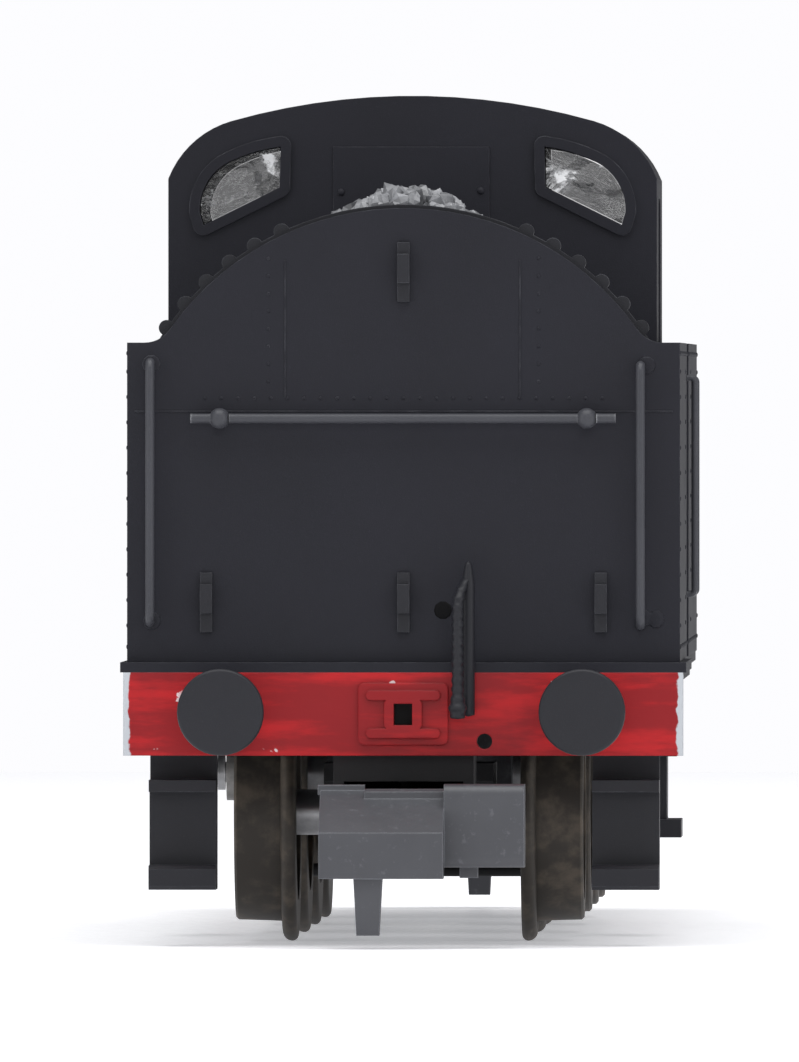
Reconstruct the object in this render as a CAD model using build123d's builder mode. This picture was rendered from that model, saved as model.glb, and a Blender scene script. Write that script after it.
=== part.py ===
"""An N gauge model of an inside-cylinder 0-6-2 side tank locomotive, as separate assembled pieces.

Frame: X across the track, +Y towards the chimney, +Z up. The origin lies on the centre line of the
track, midway between the couplers, at the level of the lowest point of the wheel flanges.
"""
import os
from math import cos, pi, radians, sin, sqrt

from build123d import *

os.makedirs("parts", exist_ok=True)

# ---------------------------------------------------------------- driving dimensions (mm)
# wheels and track
back_to_back = 7.4
wheel_width = 2.05
flange_thickness = 0.45
flange_depth = 0.65
driving_tread_radius = 4.7
trailing_tread_radius = 3.6
axle_radius = 0.75
running_clearance = 0.05
crank_throw = 1.6
crankpin_radius = 0.35
rod_thickness = 0.55
driving_wheelbase = 14.5
middle_axle_y = 6.0
trailing_axle_y = -24.5
spoke_count = 14

# gear train: single start worm, two equal spur gears
gear_module = 0.3
gear_teeth = 20
gear_width = 1.2
worm_pitch_radius = 1.2
worm_length = 5.2
motor_clearance = 0.45
motor_length = 14.0
flywheel_length = 4.5

# footplate, beams and buffers
half_length = 36.0
footplate_half_width = 9.25
tank_footplate_half_width = 9.0
front_footplate_half_width = 8.5
footplate_underside = 8.97
footplate_thickness = 0.33
beam_half_width = 9.15
front_beam_half_width = 8.2
beam_bottom = 6.25
beam_thickness = 0.8
buffer_half_spacing = 5.89
buffer_height = 7.7
buffer_head_radius = 1.415
buffer_length = 3.2
pipe_hole_radius = 0.25

# body mouldings
wall = 0.6
tank_half_width = 9.04
tank_top = 19.75
tank_front_y = 10.6
bunker_length = 14.0
cab_length = 13.0
cab_inset = 0.94
cab_wall = 0.6
eaves_height = 25.2
roof_height = 27.95
roof_crown_radius = 22.0
doorway_width = 5.0
dome_rise = 4.4
dome_shoulder = 1.108
boiler_radius = 5.1
boiler_wall = 0.5
boiler_height = 16.2
smokebox_length = 10.0
smokebox_radius = 5.3
smokebox_front_y = 33.0
coupler_swing_y = 32.3
coupler_reach = 41.0
truck_pivot_y = -14.5

# values that follow from them
wheel_back = back_to_back / 2
wheel_face = wheel_back + wheel_width
driving_axle_height = driving_tread_radius + flange_depth
trailing_axle_height = trailing_tread_radius + flange_depth
front_axle_y = middle_axle_y + driving_wheelbase
rear_axle_y = middle_axle_y - driving_wheelbase
driving_axles = {"front": front_axle_y, "middle": middle_axle_y, "rear": rear_axle_y}
gear_pitch_radius = gear_module * gear_teeth / 2
idler_height = driving_axle_height + 2 * gear_pitch_radius
shaft_height = idler_height + gear_pitch_radius + worm_pitch_radius
motor_radius = boiler_radius - boiler_wall - (boiler_height - shaft_height) - motor_clearance
flywheel_radius = motor_radius
gear_tip_radius = gear_pitch_radius + gear_module
footplate_top = footplate_underside + footplate_thickness
rear_sheet_y = -half_length + 0.6
cab_rear_y = rear_sheet_y + bunker_length
cab_half_width = tank_half_width - cab_inset
cab_front_y = cab_rear_y + cab_length
doorway_y = cab_rear_y + 0.5 * cab_length
smokebox_back_y = smokebox_front_y - smokebox_length
rod_inner_face = wheel_face + 0.25
chassis_half_width = wheel_back - 0.6
motor_back_y = middle_axle_y + worm_length / 2 + 3.0
motor_front_y = motor_back_y + motor_length


def across(y):
    """Plane across the track at the station y: local x is X, local y is Z, facing the rear."""
    return Plane.XZ.offset(-y)


def upright(x):
    """Plane along the track at the offset x: local x is Y, local y is Z, facing +X."""
    return Plane.YZ.offset(x)


def axle_plane(y, height):
    """Plane through an axle's centre: local x runs along the axle, local y is Z."""
    return Plane(origin=(0, y, height), x_dir=(1, 0, 0), z_dir=(0, -1, 0))


def save(builder, name):
    """Label the finished piece and write it as its own file."""
    builder.part.label = name
    export_step(builder.part, f"parts/{name}.step")


# ---------------------------------------------------------------- chassis
# Die-cast block between the wheels: axle slots open downwards, a gear well, a motor cradle.
block_bottom = 3.3
block_top = 11.9
block_back_y = rear_axle_y - 8.5
block_front_y = motor_front_y + 0.9
deck_front_y = rear_axle_y + 4.5
gear_well_half = gear_width / 2 + 0.35
pivot_seat = 6.1
tongue_bottom = 7.6
cheek_height = 1.0
tongue_top = footplate_underside - 0.07
deck_top = tongue_top
screw_radius = 0.5
screw_head_radius = 1.0
screw_head_height = 0.5
screw_clearance = 0.03
rear_screw_y = block_back_y - 1.8
front_screw_y = block_front_y + 2.8
keeper_screw_ys = (middle_axle_y - driving_wheelbase / 2, middle_axle_y + driving_wheelbase / 2)
pivot_screw_radius = 0.5
pivot_shoulder_radius = 0.7
flywheel_front_y = middle_axle_y - worm_length / 2 - 1.4
flywheel_back_y = flywheel_front_y - flywheel_length

with BuildPart() as chassis_block:
    with BuildSketch(Plane.XY.offset(block_bottom)):
        with Locations((0, (block_back_y + block_front_y) / 2)):
            Rectangle(2 * chassis_half_width, block_front_y - block_back_y)
    extrude(amount=block_top - block_bottom)
    # low deck behind, which carries the circuit board
    with BuildSketch(Plane.XY.offset(deck_top)):
        with Locations((0, (block_back_y + deck_front_y) / 2)):
            Rectangle(2 * chassis_half_width, deck_front_y - block_back_y)
    extrude(amount=block_top - deck_top, mode=Mode.SUBTRACT)
    # raised seat over the truck pivot
    seat_front_y = rear_axle_y - 2.6
    with BuildSketch(Plane.XY.offset(block_bottom)):
        with Locations((0, (block_back_y + seat_front_y) / 2)):
            Rectangle(2 * chassis_half_width, seat_front_y - block_back_y)
    extrude(amount=pivot_seat - block_bottom, mode=Mode.SUBTRACT)
    # motor cradle: cheeks up to the motor's centre line, bored to its radius
    with BuildSketch(Plane.XY.offset(block_top)):
        with Locations((0, (motor_back_y + block_front_y) / 2)):
            Rectangle(2 * chassis_half_width, block_front_y - motor_back_y)
    extrude(amount=cheek_height)
    with BuildSketch(across(motor_back_y - 1.0)):
        with Locations((0, shaft_height)):
            Circle(motor_radius + running_clearance)
    extrude(amount=-(block_front_y - motor_back_y + 2.0), mode=Mode.SUBTRACT)
    # clearance for the flywheel
    with BuildSketch(across(flywheel_back_y - 0.5)):
        with Locations((0, shaft_height)):
            Circle(flywheel_radius + 0.4)
    extrude(amount=-(flywheel_length + 1.0), mode=Mode.SUBTRACT)
    # well for the two gears, open above and below
    with BuildSketch(Plane.XY.offset(block_bottom)):
        with Locations((0, middle_axle_y)):
            Rectangle(2 * gear_well_half, 2 * gear_tip_radius + 0.6)
    extrude(amount=block_top, mode=Mode.SUBTRACT)
    # axle slots with round tops
    for axle_y in driving_axles.values():
        with BuildSketch(upright(-chassis_half_width)):
            with Locations((axle_y, driving_axle_height)):
                Circle(axle_radius + running_clearance)
            with Locations((axle_y, (driving_axle_height + block_bottom) / 2)):
                Rectangle(2 * (axle_radius + running_clearance), driving_axle_height - block_bottom)
        extrude(amount=2 * chassis_half_width, mode=Mode.SUBTRACT)
    # tongues that the body screws pass through
    for tongue_y, screw_y in ((block_back_y, rear_screw_y), (block_front_y, front_screw_y)):
        with BuildSketch(Plane.XY.offset(tongue_bottom)):
            with Locations((0, (tongue_y + screw_y) / 2)):
                Rectangle(4.0, abs(screw_y - tongue_y) + 2 * screw_head_radius)
        extrude(amount=tongue_top - tongue_bottom)
        with BuildSketch(Plane.XY.offset(tongue_bottom)):
            with Locations((0, screw_y)):
                Circle(screw_radius + screw_clearance)
        extrude(amount=tongue_top - tongue_bottom, mode=Mode.SUBTRACT)
    # the idler pin's cross bore
    with BuildSketch(upright(-chassis_half_width)):
        with Locations((middle_axle_y, idler_height)):
            Circle(screw_radius)
    extrude(amount=2 * chassis_half_width, mode=Mode.SUBTRACT)
    # blind screw holes: keeper plate screws and the truck's pivot screw
    for screw_y in keeper_screw_ys:
        with BuildSketch(Plane.XY.offset(block_bottom)):
            with Locations((0, screw_y)):
                Circle(screw_radius + screw_clearance)
        extrude(amount=3.6, mode=Mode.SUBTRACT)
    with BuildSketch(Plane.XY.offset(pivot_seat)):
        with Locations((0, truck_pivot_y)):
            Circle(pivot_screw_radius + screw_clearance)
    extrude(amount=deck_top - pivot_seat, mode=Mode.SUBTRACT)
save(chassis_block, "chassis_block")

# Keeper plate: closes the axle slots from below with a pad under each axle.
keeper_bottom = 2.4
keeper_clearance = 0.05
keeper_top = block_bottom
with BuildPart() as keeper_plate:
    keeper_back_y = rear_axle_y - 2.4
    keeper_front_y = front_axle_y + 4.0
    with BuildSketch(Plane.XY.offset(keeper_bottom)):
        with Locations((0, (keeper_back_y + keeper_front_y) / 2)):
            RectangleRounded(2 * chassis_half_width, keeper_front_y - keeper_back_y, 0.8)
    extrude(amount=keeper_top - keeper_bottom)
    for axle_y in driving_axles.values():
        with BuildSketch(Plane.XY.offset(keeper_top)):
            with Locations((0, axle_y)):
                Rectangle(2 * chassis_half_width - 0.6, 2 * axle_radius - 0.2)
        extrude(amount=driving_axle_height - axle_radius - keeper_clearance - keeper_top)
    with BuildSketch(Plane.XY.offset(keeper_bottom)):
        with Locations((0, middle_axle_y)):
            Rectangle(2 * gear_well_half, 2 * gear_tip_radius + 0.2)
    extrude(amount=2 * gear_tip_radius, mode=Mode.SUBTRACT)
    with BuildSketch(Plane.XY.offset(keeper_bottom)):
        for screw_y in keeper_screw_ys:
            with Locations((0, screw_y)):
                Circle(screw_radius + screw_clearance)
    extrude(amount=keeper_top - keeper_bottom, mode=Mode.SUBTRACT)
save(keeper_plate, "keeper_plate")


def pan_screw(head_bottom, x, y, length, cross_slot=0.25):
    """Sketch-and-extrude one slotted pan head screw standing upright on its head."""
    with BuildSketch(Plane.XY.offset(head_bottom)) as profile:
        with Locations((x, y)):
            Circle(screw_head_radius)
    extrude(profile.sketch, amount=screw_head_height)
    with BuildSketch(Plane.XY.offset(head_bottom + screw_head_height)) as profile:
        with Locations((x, y)):
            Circle(screw_radius)
    extrude(profile.sketch, amount=length)
    with BuildSketch(Plane.XY.offset(head_bottom)) as profile:
        with Locations((x, y)):
            Rectangle(2 * screw_head_radius, cross_slot)
    extrude(profile.sketch, amount=0.22, mode=Mode.SUBTRACT)


# Four equal screws: two hold the keeper plate, two hold the body on the chassis.
screw_length = 3.0
with BuildPart() as frame_screws:
    for screw_y in keeper_screw_ys:
        pan_screw(keeper_bottom - screw_head_height, 0, screw_y, screw_length)
    for screw_y in (rear_screw_y, front_screw_y):
        pan_screw(tongue_bottom - screw_head_height, 0, screw_y, screw_length)
save(frame_screws, "frame_screws")


# ---------------------------------------------------------------- motor and worm drive
motor_boss_radius = 1.2
motor_boss_length = 0.5
shaft_radius = 0.5
with BuildPart() as motor_can:
    with BuildSketch(across(motor_back_y)):
        with Locations((0, shaft_height)):
            Circle(motor_radius)
    extrude(amount=-motor_length)
    fillet(motor_can.edges().filter_by(GeomType.CIRCLE).group_by(Axis.Y)[0], 0.4)
    with BuildSketch(across(motor_back_y)):
        with Locations((0, shaft_height)):
            Circle(motor_boss_radius)
    extrude(amount=motor_boss_length)
    with BuildSketch(across(motor_back_y - motor_boss_length)):
        with Locations((0, shaft_height)):
            Circle(shaft_radius + running_clearance)
    extrude(amount=-(motor_length + motor_boss_length), mode=Mode.SUBTRACT)
save(motor_can, "motor_can")

end_bell_length = 1.6
with BuildPart() as motor_end_bell:
    with BuildSketch(across(motor_front_y)):
        with Locations((0, shaft_height)):
            Circle(motor_radius - 0.15)
    extrude(amount=-end_bell_length)
    with BuildSketch(across(motor_front_y)):
        with Locations((0, shaft_height)):
            Circle(shaft_radius + running_clearance)
    extrude(amount=-(end_bell_length - 0.4), mode=Mode.SUBTRACT)
    # two brush terminals
    with BuildSketch(across(motor_front_y + end_bell_length)):
        with Locations((-1.6, shaft_height), (1.6, shaft_height)):
            Rectangle(0.8, 0.25)
    extrude(amount=-0.6)
save(motor_end_bell, "motor_end_bell")

# Motor shaft, from the far bearing through the worm to the flywheel.
shaft_front_y = motor_front_y + 0.8
shaft_back_y = flywheel_back_y - 0.3
with BuildPart() as motor_shaft:
    with BuildSketch(across(shaft_back_y)):
        with Locations((0, shaft_height)):
            Circle(shaft_radius)
    extrude(amount=-(shaft_front_y - shaft_back_y))
save(motor_shaft, "motor_shaft")

with BuildPart() as flywheel:
    with BuildSketch(across(flywheel_back_y)):
        with Locations((0, shaft_height)):
            Circle(flywheel_radius)
            Circle(shaft_radius, mode=Mode.SUBTRACT)
    extrude(amount=-flywheel_length)
    chamfer(flywheel.edges().filter_by(GeomType.CIRCLE).group_by(SortBy.RADIUS)[-1], 0.3)
save(flywheel, "flywheel")

# Worm: a right-handed single thread round a core, its crest filling the wheel's topmost gap.
worm_pitch = pi * gear_module
worm_core_radius = worm_pitch_radius - 1.1 * gear_module
worm_tip_radius = worm_pitch_radius + 0.8 * gear_module
thread_turns = 5
thread_root_half = 0.22
thread_crest_half = 0.05
thread_sink = 0.03
thread_start_y = middle_axle_y - thread_turns * worm_pitch / 2
with BuildPart() as worm:
    # right-hand thread that starts over the shaft, so that its crests meet the wheel's gaps below
    with BuildLine() as thread_path:
        Helix(
            worm_pitch,
            thread_turns * worm_pitch,
            worm_pitch_radius,
            center=(0, thread_start_y, shaft_height),
            direction=(0, 1, 0),
        )
    with BuildSketch(Plane(origin=(0, thread_start_y, shaft_height), x_dir=(0, 1, 0), z_dir=(1, 0, 0))):
        with BuildLine():
            Polyline(
                (-thread_root_half, worm_core_radius - thread_sink),
                (-thread_crest_half, worm_tip_radius),
                (thread_crest_half, worm_tip_radius),
                (thread_root_half, worm_core_radius - thread_sink),
                close=True,
            )
        make_face()
    sweep(path=thread_path.line, is_frenet=True)
    with BuildSketch(across(middle_axle_y - worm_length / 2)):
        with Locations((0, shaft_height)):
            Circle(worm_core_radius)
    extrude(amount=-worm_length)
    with BuildSketch(across(middle_axle_y - worm_length / 2)):
        with Locations((0, shaft_height)):
            Circle(shaft_radius)
    extrude(amount=-worm_length, mode=Mode.SUBTRACT)
save(worm, "worm")


def gear_teeth_outline(first_tooth_angle):
    """Closed outline of a small spur gear with straight-flanked teeth, in the current sketch."""
    pitch_angle = 2 * pi / gear_teeth
    root_radius = gear_pitch_radius - 1.15 * gear_module
    tip_radius = gear_pitch_radius + 0.85 * gear_module
    root_half_angle = 0.30 * pitch_angle
    tip_half_angle = 0.105 * pitch_angle
    points = []
    for tooth in range(gear_teeth):
        middle = first_tooth_angle + tooth * pitch_angle
        for radius, angle in (
            (root_radius, middle - root_half_angle),
            (tip_radius, middle - tip_half_angle),
            (tip_radius, middle + tip_half_angle),
            (root_radius, middle + root_half_angle),
        ):
            points.append((radius * cos(angle), radius * sin(angle)))
    Polyline(*points, close=True)


def spur_gear(height, first_tooth_angle, bore_radius):
    """A spur gear on the middle axle's centre line at the given height."""
    centre = Plane(origin=(-gear_width / 2, middle_axle_y, height), x_dir=(0, 1, 0), z_dir=(1, 0, 0))
    with BuildSketch(centre) as profile:
        with BuildLine():
            gear_teeth_outline(first_tooth_angle)
        make_face()
        Circle(bore_radius, mode=Mode.SUBTRACT)
    extrude(profile.sketch, amount=gear_width)


half_tooth = pi / gear_teeth
with BuildPart() as worm_wheel:
    spur_gear(idler_height, pi / 2 + half_tooth, screw_radius + running_clearance)
save(worm_wheel, "worm_wheel")

with BuildPart() as axle_gear:
    spur_gear(driving_axle_height, pi / 2, axle_radius)
save(axle_gear, "axle_gear")

with BuildPart() as idler_pin:
    with BuildSketch(upright(-chassis_half_width)):
        with Locations((middle_axle_y, idler_height)):
            Circle(screw_radius)
    extrude(amount=2 * chassis_half_width)
save(idler_pin, "idler_pin")

# Circuit board on the low deck, with its suppression parts and solder pads.
board_thickness = 0.5
board_bottom = deck_top + 0.2
with BuildPart() as circuit_board:
    board_front_y = deck_front_y - 0.3
    board_back_y = block_back_y + 0.3
    with BuildSketch(Plane.XY.offset(board_bottom)):
        with Locations((0, (board_front_y + board_back_y) / 2)):
            Rectangle(2 * chassis_half_width - 0.4, board_front_y - board_back_y)
    extrude(amount=board_thickness)
    with BuildSketch(Plane.XY.offset(deck_top)):
        with Locations((0, board_front_y - 1.0), (0, board_back_y + 1.0)):
            Rectangle(2.0, 0.9)
    extrude(amount=board_bottom - deck_top)
    with BuildSketch(Plane.XY.offset(board_bottom + board_thickness)):
        with Locations((-1.2, board_back_y + 3.0), (1.2, board_back_y + 3.0)):
            Rectangle(1.2, 2.0)
        with Locations((0, board_back_y + 7.0)):
            Rectangle(2.4, 1.4)
    extrude(amount=0.6)
save(circuit_board, "circuit_board")

# Pickup strips: a springy strip along each side with a finger at each driving wheel's back.
strip_thickness = 0.12
finger_gap = 0.05
strip_bottom = 3.5
strip_top = 4.3
with BuildPart() as pickup_strips:
    for side in (-1, 1):
        with BuildSketch(Plane.XY.offset(strip_bottom)):
            with Locations((side * (chassis_half_width + strip_thickness / 2), (rear_axle_y + front_axle_y) / 2)):
                Rectangle(strip_thickness, 2 * driving_wheelbase + 1.6)
        extrude(amount=strip_top - strip_bottom)
        for axle_y in driving_axles.values():
            with BuildSketch(Plane.XY.offset(strip_bottom)):
                with BuildLine():
                    outer = wheel_back - finger_gap
                    Polyline(
                        (side * chassis_half_width, axle_y + 2.6),
                        (side * chassis_half_width, axle_y + 2.4),
                        (side * (outer - strip_thickness), axle_y + 1.0),
                        (side * (outer - strip_thickness), axle_y + 0.4),
                        (side * outer, axle_y + 0.4),
                        (side * outer, axle_y + 1.1),
                        close=True,
                    )
                make_face()
            extrude(amount=strip_top - strip_bottom)
save(pickup_strips, "pickup_strips")


# ---------------------------------------------------------------- wheels
def tyre_ring(side, y, height, tread_radius, tyre_depth):
    """A turned metal tyre: coned tread, rounded flange at the back."""
    flange_radius = tread_radius + flange_depth
    with BuildSketch(axle_plane(y, height)) as profile:
        with BuildLine():
            inner = tread_radius - tyre_depth
            flange_face = wheel_back + flange_thickness
            flange_crest = (side * (wheel_back + 0.2), flange_radius)
            Line((side * wheel_back, inner), (side * wheel_back, flange_radius - 0.2))
            TangentArc(flange_crest, (side * wheel_back, flange_radius - 0.2), tangent=(-side, 0))
            TangentArc(flange_crest, (side * (flange_face - 0.03), tread_radius + 0.12), tangent=(side, 0))
            Polyline(
                (side * (flange_face - 0.03), tread_radius + 0.12),
                (side * flange_face, tread_radius),
                (side * (wheel_face - 0.08), tread_radius - 0.05),
                (side * wheel_face, tread_radius - 0.13),
                (side * wheel_face, inner),
                (side * wheel_back, inner),
            )
        make_face()
    revolve(profile.sketch, axis=Axis((0, y, height), (1, 0, 0)))


def spoked_centre(side, y, height, outer_radius, spokes, crank_angle=None):
    """A moulded wheel centre: hub, tapered spokes, rim, and a crank boss where there is a crank."""
    hub_radius = axle_radius + 0.45
    rim_radius = outer_radius - 0.35
    centre_back = wheel_back + 0.35
    centre_face = wheel_face - 0.3
    start = side * centre_back
    amount = side * (centre_face - centre_back)
    with BuildSketch(Plane(origin=(start, y, height), x_dir=(0, 1, 0), z_dir=(1, 0, 0))) as profile:
        Circle(outer_radius)
        Circle(rim_radius, mode=Mode.SUBTRACT)
        Circle(hub_radius)
        for spoke in range(spokes):
            turn = 360 * (spoke + 0.5) / spokes
            with Locations(Location((0, 0, 0), (0, 0, turn))):
                with BuildLine():
                    Polyline(
                        (hub_radius - 0.2, -0.2),
                        (rim_radius + 0.1, -0.13),
                        (rim_radius + 0.1, 0.13),
                        (hub_radius - 0.2, 0.2),
                        close=True,
                    )
                make_face()
        if crank_angle is not None:
            throw_point = (crank_throw * cos(crank_angle), crank_throw * sin(crank_angle))
            with Locations(throw_point):
                Circle(0.75)
            # cast balance weight opposite the crank
            with BuildLine():
                weight_half_angle = radians(38)
                first = (
                    (rim_radius + 0.1) * cos(crank_angle + pi - weight_half_angle),
                    (rim_radius + 0.1) * sin(crank_angle + pi - weight_half_angle),
                )
                last = (
                    (rim_radius + 0.1) * cos(crank_angle + pi + weight_half_angle),
                    (rim_radius + 0.1) * sin(crank_angle + pi + weight_half_angle),
                )
                top = ((rim_radius + 0.1) * cos(crank_angle + pi), (rim_radius + 0.1) * sin(crank_angle + pi))
                ThreePointArc(first, top, last)
                Line(last, first)
            make_face()
        Circle(axle_radius, mode=Mode.SUBTRACT)
        if crank_angle is not None:
            with Locations(throw_point):
                Circle(crankpin_radius, mode=Mode.SUBTRACT)
    extrude(profile.sketch, amount=amount)


def crank_angles():
    """Crank directions of the left and right wheels, a quarter turn apart."""
    return {-1: 0.0, 1: pi / 2}


driving_tyre_depth = 0.75
pin_head_radius = 0.6
pin_head_height = 0.25
rod_outer_face = rod_inner_face + rod_thickness
for place, axle_y in driving_axles.items():
    with BuildPart() as tyres:
        for side in (-1, 1):
            tyre_ring(side, axle_y, driving_axle_height, driving_tread_radius, driving_tyre_depth)
    save(tyres, f"{place}_tyres")
    with BuildPart() as centres:
        for side, crank in crank_angles().items():
            spoked_centre(
                side, axle_y, driving_axle_height, driving_tread_radius - driving_tyre_depth, spoke_count, crank
            )
    save(centres, f"{place}_wheel_centres")
    with BuildPart() as axle:
        with BuildSketch(Plane(origin=(-wheel_face + 0.2, axle_y, driving_axle_height), x_dir=(0, 1, 0), z_dir=(1, 0, 0))):
            Circle(axle_radius)
        extrude(amount=2 * (wheel_face - 0.2))
        chamfer(axle.edges().filter_by(GeomType.CIRCLE), 0.12)
    save(axle, f"{place}_axle")
    with BuildPart() as crankpins:
        for side, crank in crank_angles().items():
            pin_y = axle_y + crank_throw * cos(crank)
            pin_z = driving_axle_height + crank_throw * sin(crank)
            pin_plane = Plane(origin=(side * (wheel_back + 0.5), pin_y, pin_z), x_dir=(0, 1, 0), z_dir=(side, 0, 0))
            with BuildSketch(pin_plane):
                Circle(crankpin_radius)
            extrude(amount=rod_outer_face + running_clearance - wheel_back - 0.5)
            head_plane = Plane(
                origin=(side * (rod_outer_face + running_clearance), pin_y, pin_z), x_dir=(0, 1, 0), z_dir=(side, 0, 0)
            )
            with BuildSketch(head_plane):
                Circle(pin_head_radius)
            extrude(amount=pin_head_height)
    save(crankpins, f"{place}_crankpins")

trailing_tyre_depth = 0.7
with BuildPart() as trailing_tyres:
    for side in (-1, 1):
        tyre_ring(side, trailing_axle_y, trailing_axle_height, trailing_tread_radius, trailing_tyre_depth)
save(trailing_tyres, "trailing_tyres")
with BuildPart() as trailing_wheel_centres:
    for side in (-1, 1):
        spoked_centre(
            side, trailing_axle_y, trailing_axle_height, trailing_tread_radius - trailing_tyre_depth, 10
        )
save(trailing_wheel_centres, "trailing_wheel_centres")
with BuildPart() as trailing_axle:
    trailing_end = wheel_face - 0.2
    with BuildSketch(Plane(origin=(-trailing_end, trailing_axle_y, trailing_axle_height), x_dir=(0, 1, 0), z_dir=(1, 0, 0))):
        Circle(axle_radius)
    extrude(amount=2 * trailing_end)
    chamfer(trailing_axle.edges().filter_by(GeomType.CIRCLE), 0.12)
save(trailing_axle, "trailing_axle")

# ---------------------------------------------------------------- coupling rods
# Fluted rods over the three crankpins, with an eye at each pin and a waist between.
rod_eye_radius = 0.95
rod_half_depth = 0.45
for side, name in ((-1, "left_coupling_rod"), (1, "right_coupling_rod")):
    crank = crank_angles()[side]
    pin_z = driving_axle_height + crank_throw * sin(crank)
    with BuildPart() as coupling_rod:
        rod_plane = Plane(origin=(side * rod_inner_face, 0, pin_z), x_dir=(0, side, 0), z_dir=(side, 0, 0))
        rod_pins = [side * (axle_y + crank_throw * cos(crank)) for axle_y in driving_axles.values()]
        with BuildSketch(rod_plane):
            with Locations(((min(rod_pins) + max(rod_pins)) / 2, 0)):
                Rectangle(2 * driving_wheelbase, 2 * rod_half_depth)
            for pin_y in rod_pins:
                with Locations((pin_y, 0)):
                    Circle(rod_eye_radius)
        extrude(amount=rod_thickness)
        with BuildSketch(rod_plane):
            for pin_y in rod_pins:
                with Locations((pin_y, 0)):
                    Circle(crankpin_radius + running_clearance)
        extrude(amount=rod_thickness, mode=Mode.SUBTRACT)
        # the flute milled along each outer face
        with BuildSketch(rod_plane.offset(rod_thickness)):
            for bay in (0, 1):
                with Locations(((sorted(rod_pins)[bay] + sorted(rod_pins)[bay + 1]) / 2, 0)):
                    SlotOverall(driving_wheelbase - 2 * rod_eye_radius - 0.6, rod_half_depth)
        extrude(amount=-0.12, mode=Mode.SUBTRACT)
    save(coupling_rod, name)

# ---------------------------------------------------------------- trailing truck
# Swinging arm with a cheek each side of the axle, turning on a shouldered screw.
truck_arm_bottom = 5.3
truck_arm_top = 5.9
truck_cheek_inner = 2.0
truck_cheek_outer = 2.8
with BuildPart() as truck_frame:
    truck_back_y = trailing_axle_y - 2.8
    with BuildSketch(Plane.XY.offset(truck_arm_bottom)):
        with Locations((0, (truck_pivot_y + truck_back_y) / 2)):
            Rectangle(2.4, truck_pivot_y - truck_back_y)
        with Locations((0, truck_pivot_y)):
            Circle(1.5)
        with Locations((0, (trailing_axle_y + 2.6 + truck_back_y) / 2)):
            Rectangle(2 * truck_cheek_outer, trailing_axle_y + 2.6 - truck_back_y)
    extrude(amount=truck_arm_top - truck_arm_bottom)
    with BuildSketch(Plane.XY.offset(truck_arm_bottom)):
        with Locations((0, truck_pivot_y)):
            Circle(pivot_shoulder_radius + running_clearance)
    extrude(amount=truck_arm_top - truck_arm_bottom, mode=Mode.SUBTRACT)
    for side in (-1, 1):
        with BuildSketch(upright(side * truck_cheek_inner)):
            with BuildLine():
                Polyline(
                    (truck_back_y, truck_arm_bottom + 0.1),
                    (trailing_axle_y - 1.2, trailing_axle_height - 1.4),
                    (trailing_axle_y + 1.2, trailing_axle_height - 1.4),
                    (trailing_axle_y + 2.6, truck_arm_bottom + 0.1),
                    close=True,
                )
            make_face()
        extrude(amount=side * (truck_cheek_outer - truck_cheek_inner))
    with BuildSketch(upright(-truck_cheek_outer)):
        with Locations((trailing_axle_y, trailing_axle_height)):
            Circle(axle_radius + running_clearance)
    extrude(amount=2 * truck_cheek_outer, mode=Mode.SUBTRACT)
save(truck_frame, "truck_frame")

with BuildPart() as truck_pivot_screw:
    pivot_head_top = truck_arm_bottom - 0.1
    with BuildSketch(Plane.XY.offset(pivot_head_top - 0.6)):
        with Locations((0, truck_pivot_y)):
            Circle(1.1)
            Rectangle(2.2, 0.3, mode=Mode.SUBTRACT)
    extrude(amount=0.25)
    with BuildSketch(Plane.XY.offset(pivot_head_top - 0.35)):
        with Locations((0, truck_pivot_y)):
            Circle(1.1)
    extrude(amount=0.35)
    with BuildSketch(Plane.XY.offset(pivot_head_top)):
        with Locations((0, truck_pivot_y)):
            Circle(pivot_shoulder_radius)
    extrude(amount=pivot_seat - pivot_head_top)
    with BuildSketch(Plane.XY.offset(pivot_seat)):
        with Locations((0, truck_pivot_y)):
            Circle(pivot_screw_radius)
    extrude(amount=deck_top - pivot_seat - 0.3)
save(truck_pivot_screw, "truck_pivot_screw")


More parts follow.
